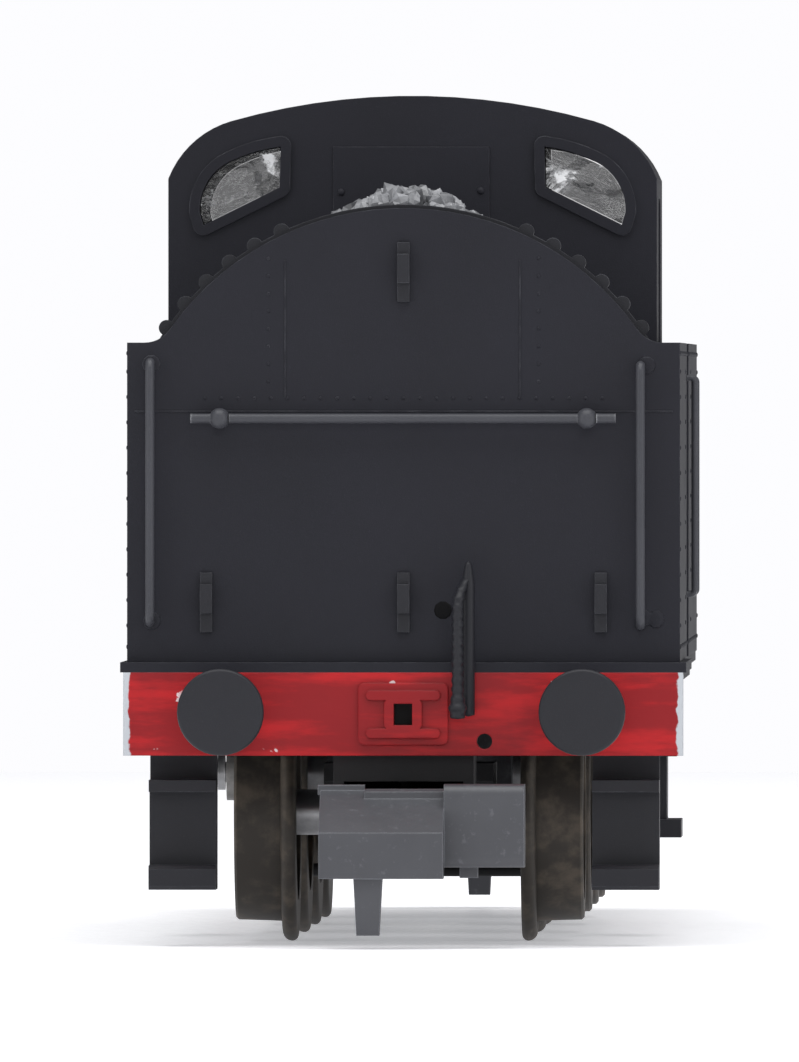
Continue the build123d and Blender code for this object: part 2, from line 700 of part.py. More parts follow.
# ---------------------------------------------------------------- footplate and beams
wheel_slot_inner = wheel_back - 0.4
wheel_slot_outer = wheel_face + 0.35
slot_half_length = sqrt((driving_tread_radius + flange_depth) ** 2 - (footplate_underside - driving_axle_height) ** 2) + 0.4
splasher_inner = driving_tread_radius + flange_depth + 0.35
splasher_outer = splasher_inner + 0.3
valance_depth = 0.5
valance_setback = 0.35
valance_thickness = 0.3
chassis_slot_half = chassis_half_width + 0.15
with BuildPart() as footplate:
    with BuildSketch(Plane.XY.offset(footplate_underside)):
        with Locations((0, (cab_rear_y - half_length) / 2)):
            Rectangle(2 * footplate_half_width, cab_rear_y + half_length)
        with Locations((0, (cab_rear_y + tank_front_y) / 2)):
            Rectangle(2 * tank_footplate_half_width, tank_front_y - cab_rear_y)
        with Locations((0, (tank_front_y + half_length) / 2)):
            Rectangle(2 * front_footplate_half_width, half_length - tank_front_y)
        with Locations((0, (block_back_y + block_front_y) / 2)):
            Rectangle(2 * chassis_slot_half, block_front_y - block_back_y + 0.4, mode=Mode.SUBTRACT)
        for axle_y in driving_axles.values():
            for side in (-1, 1):
                with Locations((side * (wheel_slot_inner + wheel_slot_outer) / 2, axle_y)):
                    Rectangle(wheel_slot_outer - wheel_slot_inner, 2 * slot_half_length, mode=Mode.SUBTRACT)
        for screw_y in (rear_screw_y, front_screw_y):
            with Locations((0, screw_y)):
                Circle(screw_radius + screw_clearance, mode=Mode.SUBTRACT)
    extrude(amount=footplate_thickness)
    # valances hanging from both edges, set in where the footplate narrows ahead of the tanks
    with BuildSketch(Plane.XY.offset(footplate_underside - valance_depth)):
        for side in (-1, 1):
            for half_width, back_y, front_y in (
                (tank_footplate_half_width, beam_thickness - half_length, tank_front_y),
                (front_footplate_half_width, tank_front_y, half_length - beam_thickness),
            ):
                with Locations((side * (half_width - valance_setback), (back_y + front_y) / 2)):
                    Rectangle(valance_thickness, front_y - back_y)
    extrude(amount=valance_depth)
    # splashers over the leading wheels
    for side in (-1, 1):
        with BuildSketch(upright(side * wheel_slot_inner)):
            with Locations((front_axle_y, driving_axle_height)):
                Circle(splasher_outer)
                Circle(splasher_inner, mode=Mode.SUBTRACT)
            with Locations((front_axle_y, driving_axle_height)):
                with Locations((0, footplate_top - driving_axle_height - 0.05 - splasher_outer)):
                    Rectangle(3 * splasher_outer, 2 * splasher_outer, mode=Mode.SUBTRACT)
        extrude(amount=side * (wheel_slot_outer + 0.3 - wheel_slot_inner))
        with BuildSketch(upright(side * wheel_slot_outer)):
            with Locations((front_axle_y, driving_axle_height)):
                Circle(splasher_outer)
                with Locations((0, footplate_top - driving_axle_height - 0.05 - splasher_outer)):
                    Rectangle(3 * splasher_outer, 2 * splasher_outer, mode=Mode.SUBTRACT)
        extrude(amount=side * 0.3)
save(footplate, "footplate")

# Buffer beams, both ends alike: a raised ribbed drawhook plate with a square hole, and a pipe hole.
drawhook_half_width = 1.47
drawhook_bottom = 6.6
drawhook_top = 8.62
drawhook_hole = 0.6
drawhook_height = 7.6
pipe_hole_x = 2.66
pipe_hole_z = 6.72
with BuildPart() as buffer_beams:
    for end, half_width in ((-1, beam_half_width), (1, front_beam_half_width)):
        face = across(end * half_length)
        with BuildSketch(face):
            with Locations((0, (beam_bottom + footplate_underside) / 2)):
                Rectangle(2 * half_width, footplate_underside - beam_bottom)
        extrude(amount=end * beam_thickness)
        with BuildSketch(face):
            with Locations((0, (drawhook_bottom + drawhook_top) / 2)):
                RectangleRounded(2 * drawhook_half_width, drawhook_top - drawhook_bottom, 0.2)
        extrude(amount=-end * 0.14)
        with BuildSketch(face):
            for rib in (-1, 1):
                with Locations((0, drawhook_height + rib * 0.62)):
                    SlotOverall(2 * drawhook_half_width - 0.5, 0.32)
            with Locations((0, drawhook_height)):
                RectangleRounded(1.25, 0.95, 0.15)
        extrude(amount=-end * 0.3)
        with BuildSketch(face):
            with Locations((0, drawhook_height)):
                Rectangle(drawhook_hole, drawhook_hole + 0.1)
        extrude(amount=1.0, both=True, mode=Mode.SUBTRACT)
        with BuildSketch(face):
            with Locations((-end * pipe_hole_x, pipe_hole_z)):
                Circle(pipe_hole_radius)
        extrude(amount=1.0, both=True, mode=Mode.SUBTRACT)
save(buffer_beams, "buffer_beams")

buffer_stock_radius = 0.95
buffer_flange_radius = 1.2
buffer_ram_radius = 0.6
head_thickness = 0.45
with BuildPart() as buffers:
    for end in (-1, 1):
        for side in (-1, 1):
            centre = (side * buffer_half_spacing, end * half_length, buffer_height)
            base = Plane(origin=centre, x_dir=(1, 0, 0), z_dir=(0, end, 0))
            with BuildSketch(base):
                Circle(buffer_flange_radius)
            extrude(amount=0.25)
            with BuildSketch(base):
                Circle(buffer_stock_radius)
            extrude(amount=1.7, taper=4)
            with BuildSketch(base):
                Circle(buffer_ram_radius)
            extrude(amount=buffer_length - head_thickness)
            with BuildSketch(base.offset(buffer_length - head_thickness)):
                Circle(buffer_head_radius)
            extrude(amount=head_thickness)
    fillet(buffers.edges().filter_by(GeomType.CIRCLE).group_by(Axis.Y)[0], 0.12)
    fillet(buffers.edges().filter_by(GeomType.CIRCLE).group_by(Axis.Y)[-1], 0.12)
save(buffers, "buffers")

# ---------------------------------------------------------------- tanks and bunker
# One moulding: side tanks, lower cab sides and bunker, with the domed rear sheet.
sheet_thickness = 0.5
shoulder_fillet = 0.9 * dome_shoulder
bunker_floor_top = 17.6
tank_inner_wall = boiler_radius + 0.1
tank_inner_bottom = 11.4
cab_floor_top = 11.7
cab_floor_thickness = 0.5
body_bottom = footplate_top
dome_half_chord = tank_half_width - dome_shoulder
dome_radius = (dome_half_chord**2 + dome_rise**2) / (2 * dome_rise)
dome_top = tank_top + dome_rise
dome_centre_height = dome_top - dome_radius
cab_ledge = tank_half_width - cab_half_width + cab_wall
with BuildPart() as tank_and_bunker:
    with BuildSketch(across(rear_sheet_y)):
        with Locations((0, (body_bottom + tank_top) / 2)):
            Rectangle(2 * tank_half_width, tank_top - body_bottom)
    extrude(amount=-(tank_front_y - rear_sheet_y))
    # hollow from below
    with BuildSketch(Plane.XY.offset(body_bottom)):
        with Locations((0, (rear_sheet_y + sheet_thickness + tank_front_y - wall) / 2)):
            Rectangle(2 * (tank_half_width - wall), tank_front_y - wall - rear_sheet_y - sheet_thickness)
    extrude(amount=tank_top - wall - body_bottom, mode=Mode.SUBTRACT)
    # coal space open above, on a raised floor
    with BuildSketch(Plane.XY.offset(tank_top - 2 * wall)):
        with Locations((0, (rear_sheet_y + sheet_thickness + cab_rear_y) / 2)):
            Rectangle(2 * (tank_half_width - wall), cab_rear_y - rear_sheet_y - sheet_thickness)
    extrude(amount=4 * wall, mode=Mode.SUBTRACT)
    with BuildSketch(Plane.XY.offset(bunker_floor_top - wall)):
        with Locations((0, (rear_sheet_y + sheet_thickness + cab_rear_y) / 2)):
            Rectangle(2 * (tank_half_width - wall), cab_rear_y - rear_sheet_y - sheet_thickness)
    extrude(amount=wall)
    # bulkhead between bunker and cab
    with BuildSketch(Plane.XY.offset(body_bottom)):
        with Locations((0, cab_rear_y + wall / 2)):
            Rectangle(2 * tank_half_width, wall)
    extrude(amount=tank_top - body_bottom)
    # cab open above, leaving a ledge for the upper cab
    with BuildSketch(Plane.XY.offset(tank_top - 2 * wall)):
        with Locations((0, (cab_rear_y + wall + cab_front_y) / 2)):
            Rectangle(2 * (tank_half_width - cab_ledge), cab_length - wall)
    extrude(amount=4 * wall, mode=Mode.SUBTRACT)
    # slot for the boiler between the tanks
    with BuildSketch(Plane.XY.offset(body_bottom)):
        with Locations((0, (cab_front_y + tank_front_y) / 2 + 0.5)):
            Rectangle(2 * tank_inner_wall, tank_front_y - cab_front_y + 1.0)
    extrude(amount=tank_top, mode=Mode.SUBTRACT)
    for side in (-1, 1):
        with BuildSketch(Plane.XY.offset(tank_inner_bottom)):
            with Locations((side * (tank_inner_wall + wall / 2), (cab_front_y + tank_front_y) / 2)):
                Rectangle(wall, tank_front_y - cab_front_y)
        extrude(amount=tank_top - tank_inner_bottom)
        with BuildSketch(Plane.XY.offset(tank_inner_bottom)):
            with Locations((side * (tank_inner_wall + tank_half_width) / 2, cab_front_y + wall / 2)):
                Rectangle(tank_half_width - tank_inner_wall, wall)
        extrude(amount=tank_top - tank_inner_bottom)
    # doorways
    with BuildSketch(Plane.XY.offset(body_bottom)):
        with Locations((0, doorway_y)):
            Rectangle(2 * tank_half_width + 1, doorway_width)
    extrude(amount=tank_top, mode=Mode.SUBTRACT)
    # cab floor, raised over the wheels, tying tanks and bunker together
    with BuildSketch(Plane.XY.offset(cab_floor_top - cab_floor_thickness)):
        with Locations((0, (cab_rear_y + cab_front_y) / 2)):
            Rectangle(2 * (tank_half_width - wall), cab_length)
        for side in (-1, 1):
            with Locations((side * (tank_inner_wall + tank_half_width) / 2, cab_front_y)):
                Rectangle(tank_half_width - tank_inner_wall, 2 * wall)
    extrude(amount=cab_floor_thickness)
    # shelf that takes the rear body screw
    with BuildSketch(Plane.XY.offset(body_bottom)):
        with Locations((0, (cab_rear_y + rear_screw_y + 1.0) / 2)):
            Rectangle(3.0, rear_screw_y + 1.0 - cab_rear_y)
    extrude(amount=cab_floor_top - cab_floor_thickness - body_bottom)
    with BuildSketch(Plane.XY.offset(body_bottom)):
        with Locations((0, rear_screw_y)):
            Circle(screw_radius + screw_clearance)
    extrude(amount=1.4, mode=Mode.SUBTRACT)
    # rear sheet: its dome rises above the shoulders on two small concave curves
    with BuildSketch(across(rear_sheet_y)) as rear_sheet:
        with BuildLine():
            Polyline(
                (-dome_half_chord, tank_top),
                (-tank_half_width, tank_top),
                (-tank_half_width, tank_top - 2.0),
                (tank_half_width, tank_top - 2.0),
                (tank_half_width, tank_top),
                (dome_half_chord, tank_top),
            )
            ThreePointArc((dome_half_chord, tank_top), (0, dome_top), (-dome_half_chord, tank_top))
        make_face()
        shoulders = rear_sheet.vertices().filter_by(lambda v: abs(abs(v.X) - dome_half_chord) < 0.01)
        fillet(shoulders, shoulder_fillet)
    extrude(amount=-sheet_thickness)
save(tank_and_bunker, "tank_and_bunker")

# Beaded hoop behind the rear sheet, standing just proud of the dome.
hoop_radius = dome_radius + 0.12
bead_radius = 0.26
bead_pitch = 6.0
bead_first_angle = 35.0
with BuildPart() as bunker_hoop:
    hoop_y = rear_sheet_y + sheet_thickness
    with BuildSketch(across(hoop_y)):
        with Locations((0, dome_centre_height)):
            Circle(hoop_radius)
        for bead in range(6):
            bead_angle = radians(bead_first_angle + bead * bead_pitch)
            for side in (-1, 1):
                with Locations((side * hoop_radius * cos(bead_angle), dome_centre_height + hoop_radius * sin(bead_angle))):
                    Circle(bead_radius)
        with Locations((0, dome_centre_height)):
            Circle(hoop_radius - 0.6, mode=Mode.SUBTRACT)
        with Locations((0, tank_top - hoop_radius)):
            Rectangle(3 * hoop_radius, 2 * hoop_radius, mode=Mode.SUBTRACT)
    extrude(amount=-0.5)
save(bunker_hoop, "bunker_hoop")

# Coal: one moulded heap lying on the bunker floor, highest just off the centre.
coal_clearance = 0.05
coal_peak = 25.1
with BuildPart() as coal_load:
    coal_back_y = rear_sheet_y + sheet_thickness + 0.5 + coal_clearance
    coal_front_y = cab_rear_y - 0.35
    with BuildSketch(Plane.XY.offset(bunker_floor_top)):
        with Locations((0, (coal_back_y + coal_front_y) / 2)):
            Rectangle(2 * (tank_half_width - wall - coal_clearance), coal_front_y - coal_back_y)
    extrude(amount=tank_top - 0.4 - bunker_floor_top)
    with BuildSketch(across(coal_back_y)):
        with BuildLine():
            base_z = tank_top - 0.5
            edge = dome_half_chord - 0.5
            Polyline((-edge, base_z), (edge, base_z))
            ThreePointArc((edge, base_z), (6.0, tank_top + 2.2), (3.2, tank_top + 4.0))
            ThreePointArc((3.2, tank_top + 4.0), (0, tank_top + 4.35), (-3.2, tank_top + 4.0))
            ThreePointArc((-3.2, tank_top + 4.0), (-6.0, tank_top + 2.2), (-edge, base_z))
        make_face()
    extrude(amount=-(coal_front_y - coal_back_y))
    # the top of the heap
    with BuildSketch(Plane.XY.offset(tank_top + 3.6)):
        with Locations((-0.1, (coal_back_y + coal_front_y) / 2)):
            Rectangle(5.6, coal_front_y - coal_back_y - 3.0)
    extrude(amount=coal_peak - tank_top - 3.6, taper=30)
save(coal_load, "coal_load")

# ---------------------------------------------------------------- upper cab
window_bezel = 0.34
bezel_height = 0.14
crown_half = 6.0
crown_centre = roof_height - roof_crown_radius


def roof_outline(inset):
    """Closed cab section: upright sides, tight eaves curves and a flat crown, drawn inset all round."""
    half = cab_half_width - inset
    crown = roof_crown_radius - inset
    edge_z = crown_centre + sqrt(crown**2 - (crown_half - inset) ** 2)
    tangent = (edge_z - crown_centre, -(crown_half - inset))
    Line((half, tank_top), (half, eaves_height))
    right = TangentArc((crown_half - inset, edge_z), (half, eaves_height), tangent=tangent)
    ThreePointArc((crown_half - inset, edge_z), (0, crown_centre + crown), (inset - crown_half, edge_z))
    TangentArc((inset - crown_half, edge_z), (-half, eaves_height), tangent=(-tangent[0], tangent[1]))
    Line((-half, eaves_height), (-half, tank_top))
    Line((-half, tank_top), (half, tank_top))


def window_outline(side):
    """Closed spectacle window: upright inner edge, sloping sill, and a top that follows the roof."""
    inner_top = (side * 4.37, 26.27)
    inner_bottom = (side * 4.41, 24.91)
    sill_end = (side * 6.93, 23.66)
    outer = (side * 7.06, 24.1)
    crest = (side * 6.03, 25.78)
    Polyline(inner_top, inner_bottom, sill_end, outer)
    ThreePointArc(outer, (side * 6.76, 25.16), crest)
    ThreePointArc(crest, (side * 5.2, 26.1), inner_top)


pane_clearance = 0.03
side_window_top = 24.6
with BuildPart() as cab_upper:
    with BuildSketch(across(cab_rear_y)):
        with BuildLine():
            roof_outline(0)
        make_face()
    extrude(amount=-cab_length)
    with BuildSketch(across(cab_rear_y + cab_wall)):
        with BuildLine():
            roof_outline(cab_wall)
        make_face()
    extrude(amount=-(cab_length - 2 * cab_wall), mode=Mode.SUBTRACT)
    # doorway tops, rounded
    with BuildSketch(upright(-cab_half_width - 1)):
        with Locations((doorway_y, (tank_top - 1 + side_window_top) / 2)):
            RectangleRounded(doorway_width, side_window_top - tank_top + 1, 0.9)
        with Locations((doorway_y, tank_top)):
            Rectangle(doorway_width, 2.0)
    extrude(amount=2 * cab_half_width + 2, mode=Mode.SUBTRACT)
    # raised bezels and the window holes, in both end walls
    for wall_y, out in ((cab_rear_y, 1), (cab_front_y, -1)):
        for side in (-1, 1):
            with BuildSketch(across(wall_y)):
                with BuildLine():
                    window_outline(side)
                make_face()
                offset(amount=window_bezel, kind=Kind.ARC)
            extrude(amount=out * bezel_height)
            with BuildSketch(across(wall_y)):
                with BuildLine():
                    window_outline(side)
                make_face()
            extrude(amount=2 * cab_wall, both=True, mode=Mode.SUBTRACT)
save(cab_upper, "cab_upper")

with BuildPart() as cab_glazing:
    for wall_y, out in ((cab_rear_y, 1), (cab_front_y, -1)):
        for side in (-1, 1):
            with BuildSketch(across(wall_y + out * 0.1)):
                with BuildLine():
                    window_outline(side)
                make_face()
                offset(amount=-pane_clearance, kind=Kind.INTERSECTION)
            extrude(amount=-out * 0.4)
save(cab_glazing, "cab_glazing")

# Cab interior: boiler backhead with its fittings, and a locker each side, on a thin base.
locker_height = 1.6
with BuildPart() as cab_interior:
    backhead_half = boiler_radius - 0.6
    backhead_y = cab_front_y - cab_wall - 0.05
    base_z = cab_floor_top + 0.02
    with BuildSketch(Plane.XY.offset(base_z)):
        with Locations((0, (doorway_y + doorway_width / 2 + backhead_y) / 2)):
            Rectangle(2 * (cab_half_width - cab_wall) - 0.2, backhead_y - doorway_y - doorway_width / 2)
    extrude(amount=0.3)
    with BuildSketch(Plane.XY.offset(base_z)):
        for side in (-1, 1):
            with Locations((side * (backhead_half + 1.5), (doorway_y + doorway_width / 2 + backhead_y) / 2)):
                Rectangle(2.4, backhead_y - doorway_y - doorway_width / 2)
    extrude(amount=locker_height)
    with BuildSketch(across(backhead_y)):
        with BuildLine():
            Line((-backhead_half, base_z), (backhead_half, base_z))
            Line((backhead_half, base_z), (backhead_half, boiler_height))
            ThreePointArc(
                (backhead_half, boiler_height), (0, boiler_height + backhead_half), (-backhead_half, boiler_height)
            )
            Line((-backhead_half, boiler_height), (-backhead_half, base_z))
        make_face()
    extrude(amount=1.3)
    with BuildSketch(across(backhead_y - 1.3)):
        with Locations((0, 14.2)):
            RectangleRounded(2.0, 1.3, 0.3)
        with Locations((-1.9, 18.2), (0, 18.6), (1.9, 18.2)):
            Circle(0.42)
    extrude(amount=0.25)
save(cab_interior, "cab_interior")


# ---------------------------------------------------------------- boiler
belt_height = 0.07
boiler_slot_half = chassis_half_width + 0.1
saddle_half_width = 4.2
saddle_back_y = smokebox_back_y + 4.0
saddle_front_y = smokebox_front_y - 0.6
boiler_inner_radius = boiler_radius - boiler_wall
chimney_y = (smokebox_back_y + smokebox_front_y) / 2
dome_y = tank_front_y + 2.6
fitting_spigot_radius = 0.7
with BuildPart() as boiler:
    with BuildSketch(across(cab_front_y + 0.05)):
        with Locations((0, boiler_height)):
            Circle(boiler_radius)
    extrude(amount=-(smokebox_back_y - cab_front_y - 0.05))
    for belt_y in (cab_front_y + 1.0, tank_front_y + 5.4, smokebox_back_y - 1.2):
        with BuildSketch(across(belt_y)):
            with Locations((0, boiler_height)):
                Circle(boiler_radius + belt_height)
        extrude(amount=-0.55)
    with BuildSketch(across(smokebox_back_y)):
        with Locations((0, boiler_height)):
            Circle(smokebox_radius)
    extrude(amount=-smokebox_length)
    with BuildSketch(Plane.XY.offset(footplate_top)):
        with Locations((0, (saddle_back_y + saddle_front_y) / 2)):
            Rectangle(2 * saddle_half_width, saddle_front_y - saddle_back_y)
    extrude(amount=boiler_height - footplate_top)
    # hollow, open below for the chassis
    with BuildSketch(across(cab_front_y)):
        with Locations((0, boiler_height)):
            Circle(boiler_inner_radius)
    extrude(amount=-(smokebox_front_y - cab_front_y - 1.5), mode=Mode.SUBTRACT)
    with BuildSketch(Plane.XY.offset(footplate_top - 1)):
        with Locations((0, (cab_front_y + block_front_y + 0.4) / 2)):
            Rectangle(2 * boiler_slot_half, block_front_y + 0.4 - cab_front_y)
    extrude(amount=boiler_height - footplate_top + 1, mode=Mode.SUBTRACT)
    # blind hole for the front body screw
    with BuildSketch(Plane.XY.offset(footplate_top)):
        with Locations((0, front_screw_y)):
            Circle(screw_radius + screw_clearance)
    extrude(amount=1.4, mode=Mode.SUBTRACT)
    # locating holes for the chimney and the dome
    with BuildSketch(Plane.XY.offset(boiler_height)):
        with Locations((0, chimney_y), (0, dome_y)):
            Circle(fitting_spigot_radius)
    extrude(amount=smokebox_radius + 1, mode=Mode.SUBTRACT)
save(boiler, "boiler")

door_radius = 4.3
with BuildPart() as smokebox_door:
    with BuildSketch(Plane(origin=(0, smokebox_front_y, boiler_height), x_dir=(1, 0, 0), z_dir=(0, 1, 0))) as door_disc:
        Circle(door_radius)
    extrude(amount=0.3)
    with BuildSketch(upright(0)) as dish:
        with BuildLine():
            face_y = smokebox_front_y + 0.3
            Line((face_y, boiler_height), (face_y, boiler_height + door_radius - 0.5))
            ThreePointArc(
                (face_y, boiler_height + door_radius - 0.5),
                (face_y + 0.55, boiler_height + door_radius * 0.5),
                (face_y + 0.8, boiler_height),
            )
            Line((face_y + 0.8, boiler_height), (face_y, boiler_height))
        make_face()
    revolve(axis=Axis((0, face_y, boiler_height), (0, 1, 0)))
    # hinge straps and the central dart
    with BuildSketch(across(smokebox_front_y)):
        for strap_z in (boiler_height - 1.5, boiler_height + 1.5):
            with Locations((1.9, strap_z)):
                Rectangle(4.2, 0.4)
    extrude(amount=-1.05)
    with BuildSketch(across(smokebox_front_y + 0.9)):
        with Locations((0, boiler_height)):
            Circle(0.45)
    extrude(amount=-0.6)
    with BuildSketch(across(smokebox_front_y + 1.35)):
        with Locations((0, boiler_height)):
            Rectangle(0.2, 2.0)
            Rectangle(1.6, 0.2)
    extrude(amount=-0.2)
save(smokebox_door, "smokebox_door")

# Turned chimney on a flared base that follows the smokebox.
chimney_top = 27.4
with BuildPart() as chimney:
    chimney_base = boiler_height + smokebox_radius
    with BuildSketch(upright(0)):
        with BuildLine():
            Polyline(
                (chimney_y, chimney_base - 0.4),
                (chimney_y + 2.0, chimney_base - 0.4),
                (chimney_y + 1.9, chimney_base + 0.25),
            )
            ThreePointArc(
                (chimney_y + 1.9, chimney_base + 0.25),
                (chimney_y + 1.4, chimney_base + 0.7),
                (chimney_y + 1.25, chimney_base + 1.6),
            )
            Polyline(
                (chimney_y + 1.25, chimney_base + 1.6),
                (chimney_y + 1.4, chimney_top - 1.0),
                (chimney_y + 1.75, chimney_top - 0.9),
                (chimney_y + 1.7, chimney_top - 0.15),
                (chimney_y + 1.35, chimney_top),
                (chimney_y + 0.95, chimney_top),
                (chimney_y + 0.95, chimney_top - 1.8),
                (chimney_y, chimney_top - 1.8),
                (chimney_y, chimney_base - 0.4),
            )
        make_face()
    revolve(axis=Axis((0, chimney_y, 0), (0, 0, 1)))
    # underside follows the smokebox
    with BuildSketch(across(smokebox_back_y)):
        with Locations((0, boiler_height)):
            Circle(smokebox_radius)
    extrude(amount=-smokebox_length, mode=Mode.SUBTRACT)
    with BuildSketch(Plane.XY.offset(chimney_base - 0.6)):
        with Locations((0, chimney_y)):
            Circle(fitting_spigot_radius - 0.03)
    extrude(amount=1.0)
save(chimney, "chimney")

steam_dome_radius = 2.0
steam_dome_top = 24.4
with BuildPart() as steam_dome:
    dome_base = boiler_height + boiler_radius
    with BuildSketch(upright(0)):
        with BuildLine():
            Polyline(
                (dome_y, dome_base - 1.2),
                (dome_y + steam_dome_radius + 0.4, dome_base - 1.2),
                (dome_y + steam_dome_radius + 0.4, dome_base - 0.1),
            )
            ThreePointArc(
                (dome_y + steam_dome_radius + 0.4, dome_base - 0.1),
                (dome_y + steam_dome_radius + 0.05, dome_base + 0.2),
                (dome_y + steam_dome_radius, dome_base + 0.7),
            )
            Line(
                (dome_y + steam_dome_radius, dome_base + 0.7), (dome_y + steam_dome_radius, steam_dome_top - 1.7)
            )
            TangentArc(
                (dome_y, steam_dome_top), (dome_y + steam_dome_radius, steam_dome_top - 1.7), tangent=(1, 0)
            )
            Line((dome_y, steam_dome_top), (dome_y, dome_base - 1.2))
        make_face()
    revolve(axis=Axis((0, dome_y, 0), (0, 0, 1)))
    with BuildSketch(across(dome_y - 4)):
        with Locations((0, boiler_height)):
            Circle(boiler_radius)
    extrude(amount=-8, mode=Mode.SUBTRACT)
    with BuildSketch(Plane.XY.offset(dome_base - 0.5)):
        with Locations((0, dome_y)):
            Circle(fitting_spigot_radius - 0.03)
    extrude(amount=1.0)
save(steam_dome, "steam_dome")

# Pair of spring-loaded safety valves on one base, over the firebox.
valve_y = cab_front_y + 4.4
with BuildPart() as safety_valves:
    valve_base = boiler_height + boiler_radius - 0.3
    with BuildSketch(Plane.XY.offset(valve_base)):
        with Locations((0, valve_y)):
            RectangleRounded(1.5, 3.0, 0.5)
    extrude(amount=0.8)
    with BuildSketch(Plane.XY.offset(valve_base + 0.8)):
        with Locations((0, valve_y - 0.75), (0, valve_y + 0.75)):
            Circle(0.5)
    extrude(amount=1.3, taper=5)
    with BuildSketch(Plane.XY.offset(valve_base + 2.1)):
        with Locations((0, valve_y - 0.75), (0, valve_y + 0.75)):
            Circle(0.52)
    extrude(amount=0.4)
    with BuildSketch(across(valve_y - 3)):
        with Locations((0, boiler_height)):
            Circle(boiler_radius + belt_height + 0.02)
    extrude(amount=-6, mode=Mode.SUBTRACT)
save(safety_valves, "safety_valves")

with BuildPart() as whistle:
    whistle_y = cab_front_y + 1.0 + 0.55 + 0.6
    with BuildSketch(Plane.XY.offset(boiler_height + boiler_radius)):
        with Locations((0, whistle_y)):
            Circle(0.22)
    extrude(amount=1.0)
    with BuildSketch(Plane.XY.offset(boiler_height + boiler_radius + 1.0)):
        with Locations((0, whistle_y)):
            Circle(0.36)
    extrude(amount=1.2)
    fillet(whistle.edges().group_by(Axis.Z)[-1], 0.15)
save(whistle, "whistle")

filler_inset = 2.84
filler_half_spacing = tank_half_width - filler_inset
filler_neck_radius = 1.0
filler_neck_height = 0.7
filler_lid_radius = 1.15
filler_lid_thickness = 0.3
filler_latch = (0.5, 0.8)
with BuildPart() as tank_fillers:
    filler_y = tank_front_y - 5.6
    lid_bottom = tank_top + filler_neck_height
    for side in (-1, 1):
        filler_x = side * filler_half_spacing
        with BuildSketch(Plane.XY.offset(tank_top)):
            with Locations((filler_x, filler_y)):
                Circle(filler_neck_radius)
        extrude(amount=filler_neck_height)
        with BuildSketch(Plane.XY.offset(lid_bottom)):
            with Locations((filler_x, filler_y)):
                Circle(filler_lid_radius)
        extrude(amount=filler_lid_thickness)
        with BuildSketch(Plane.XY.offset(lid_bottom)):
            with Locations((filler_x, filler_y + filler_lid_radius)):
                Rectangle(*filler_latch)
        extrude(amount=filler_lid_thickness + 0.1)
save(tank_fillers, "tank_fillers")


# ---------------------------------------------------------------- handrails and small fittings
def rail_between(start, end, radius):
    """A straight round wire from start to end."""
    span = Vector(*end) - Vector(*start)
    with BuildSketch(Plane(origin=start, z_dir=span.normalized())) as wire:
        Circle(radius)
    extrude(wire.sketch, amount=span.length)


knob_radius = 0.34
rail_radius = 0.16
rail_height = 17.27
rail_half_length = 6.95
rail_knob_x = 6.0
rail_stand_off = 0.62
with BuildPart() as rear_handrail:
    rail_y = rear_sheet_y - rail_stand_off
    rail_between((-rail_half_length, rail_y, rail_height), (rail_half_length, rail_y, rail_height), rail_radius)
    for side in (-1, 1):
        knob_at = (side * rail_knob_x, rail_y, rail_height)
        rail_between((knob_at[0], rear_sheet_y, rail_height), knob_at, 0.17)
        with Locations(knob_at):
            Sphere(knob_radius)
save(rear_handrail, "rear_handrail")


def wire_grab(foot, head, out, radius, bend=0.3):
    """A wire handrail along foot-head, its two ends bent back by the vector out."""
    foot_out = tuple(a + b for a, b in zip(foot, out))
    head_out = tuple(a + b for a, b in zip(head, out))
    with BuildLine() as path:
        FilletPolyline(foot, foot_out, head_out, head, radius=bend)
    with BuildSketch(Plane(origin=foot, z_dir=Vector(*out).normalized())) as section:
        Circle(radius)
    sweep(section.sketch, path=path.line)


grab_radius = 0.15
grab_stand_off = 0.55
rear_grabs = ((-8.28, 10.6, 19.1), (7.75, 10.5, 19.0))
door_grab_clear = 0.45
door_grab_stand_off = 0.26
door_grab_radius = 0.1
door_grab_bend = 0.14
with BuildPart() as vertical_handrails:
    for grab_x, low, high in rear_grabs:
        wire_grab((grab_x, rear_sheet_y, low), (grab_x, rear_sheet_y, high), (0, -grab_stand_off, 0), grab_radius)
    for side in (-1, 1):
        for edge in (-1, 1):
            grab_y = doorway_y + edge * (doorway_width / 2 + door_grab_clear)
            wire_grab(
                (side * tank_half_width, grab_y, 11.4),
                (side * tank_half_width, grab_y, 18.6),
                (side * door_grab_stand_off, 0, 0),
                door_grab_radius,
                door_grab_bend,
            )
save(vertical_handrails, "vertical_handrails")

boiler_rail_angle = radians(28)
boiler_rail_stand_off = 0.55
boiler_rail_reach = max(boiler_radius, smokebox_radius) + boiler_rail_stand_off
with BuildPart() as boiler_handrails:
    rail_x = boiler_rail_reach * cos(boiler_rail_angle)
    rail_z = boiler_height + boiler_rail_reach * sin(boiler_rail_angle)
    rail_back_y = tank_front_y + 0.3
    rail_front_y = smokebox_front_y - 0.2
    rail_between((rail_x, rail_back_y, rail_z), (rail_x, rail_front_y, rail_z), grab_radius)
    for knob in range(4):
        knob_y = rail_back_y + 1.0 + knob * (rail_front_y - rail_back_y - 2.0) / 3
        surface = smokebox_radius if knob_y > smokebox_back_y else boiler_radius
        stem_foot = (surface * cos(boiler_rail_angle), knob_y, boiler_height + surface * sin(boiler_rail_angle))
        rail_between(stem_foot, (rail_x, knob_y, rail_z), 0.14)
        with Locations((rail_x, knob_y, rail_z)):
            Sphere(0.27)
    mirror(about=Plane.YZ)
save(boiler_handrails, "boiler_handrails")

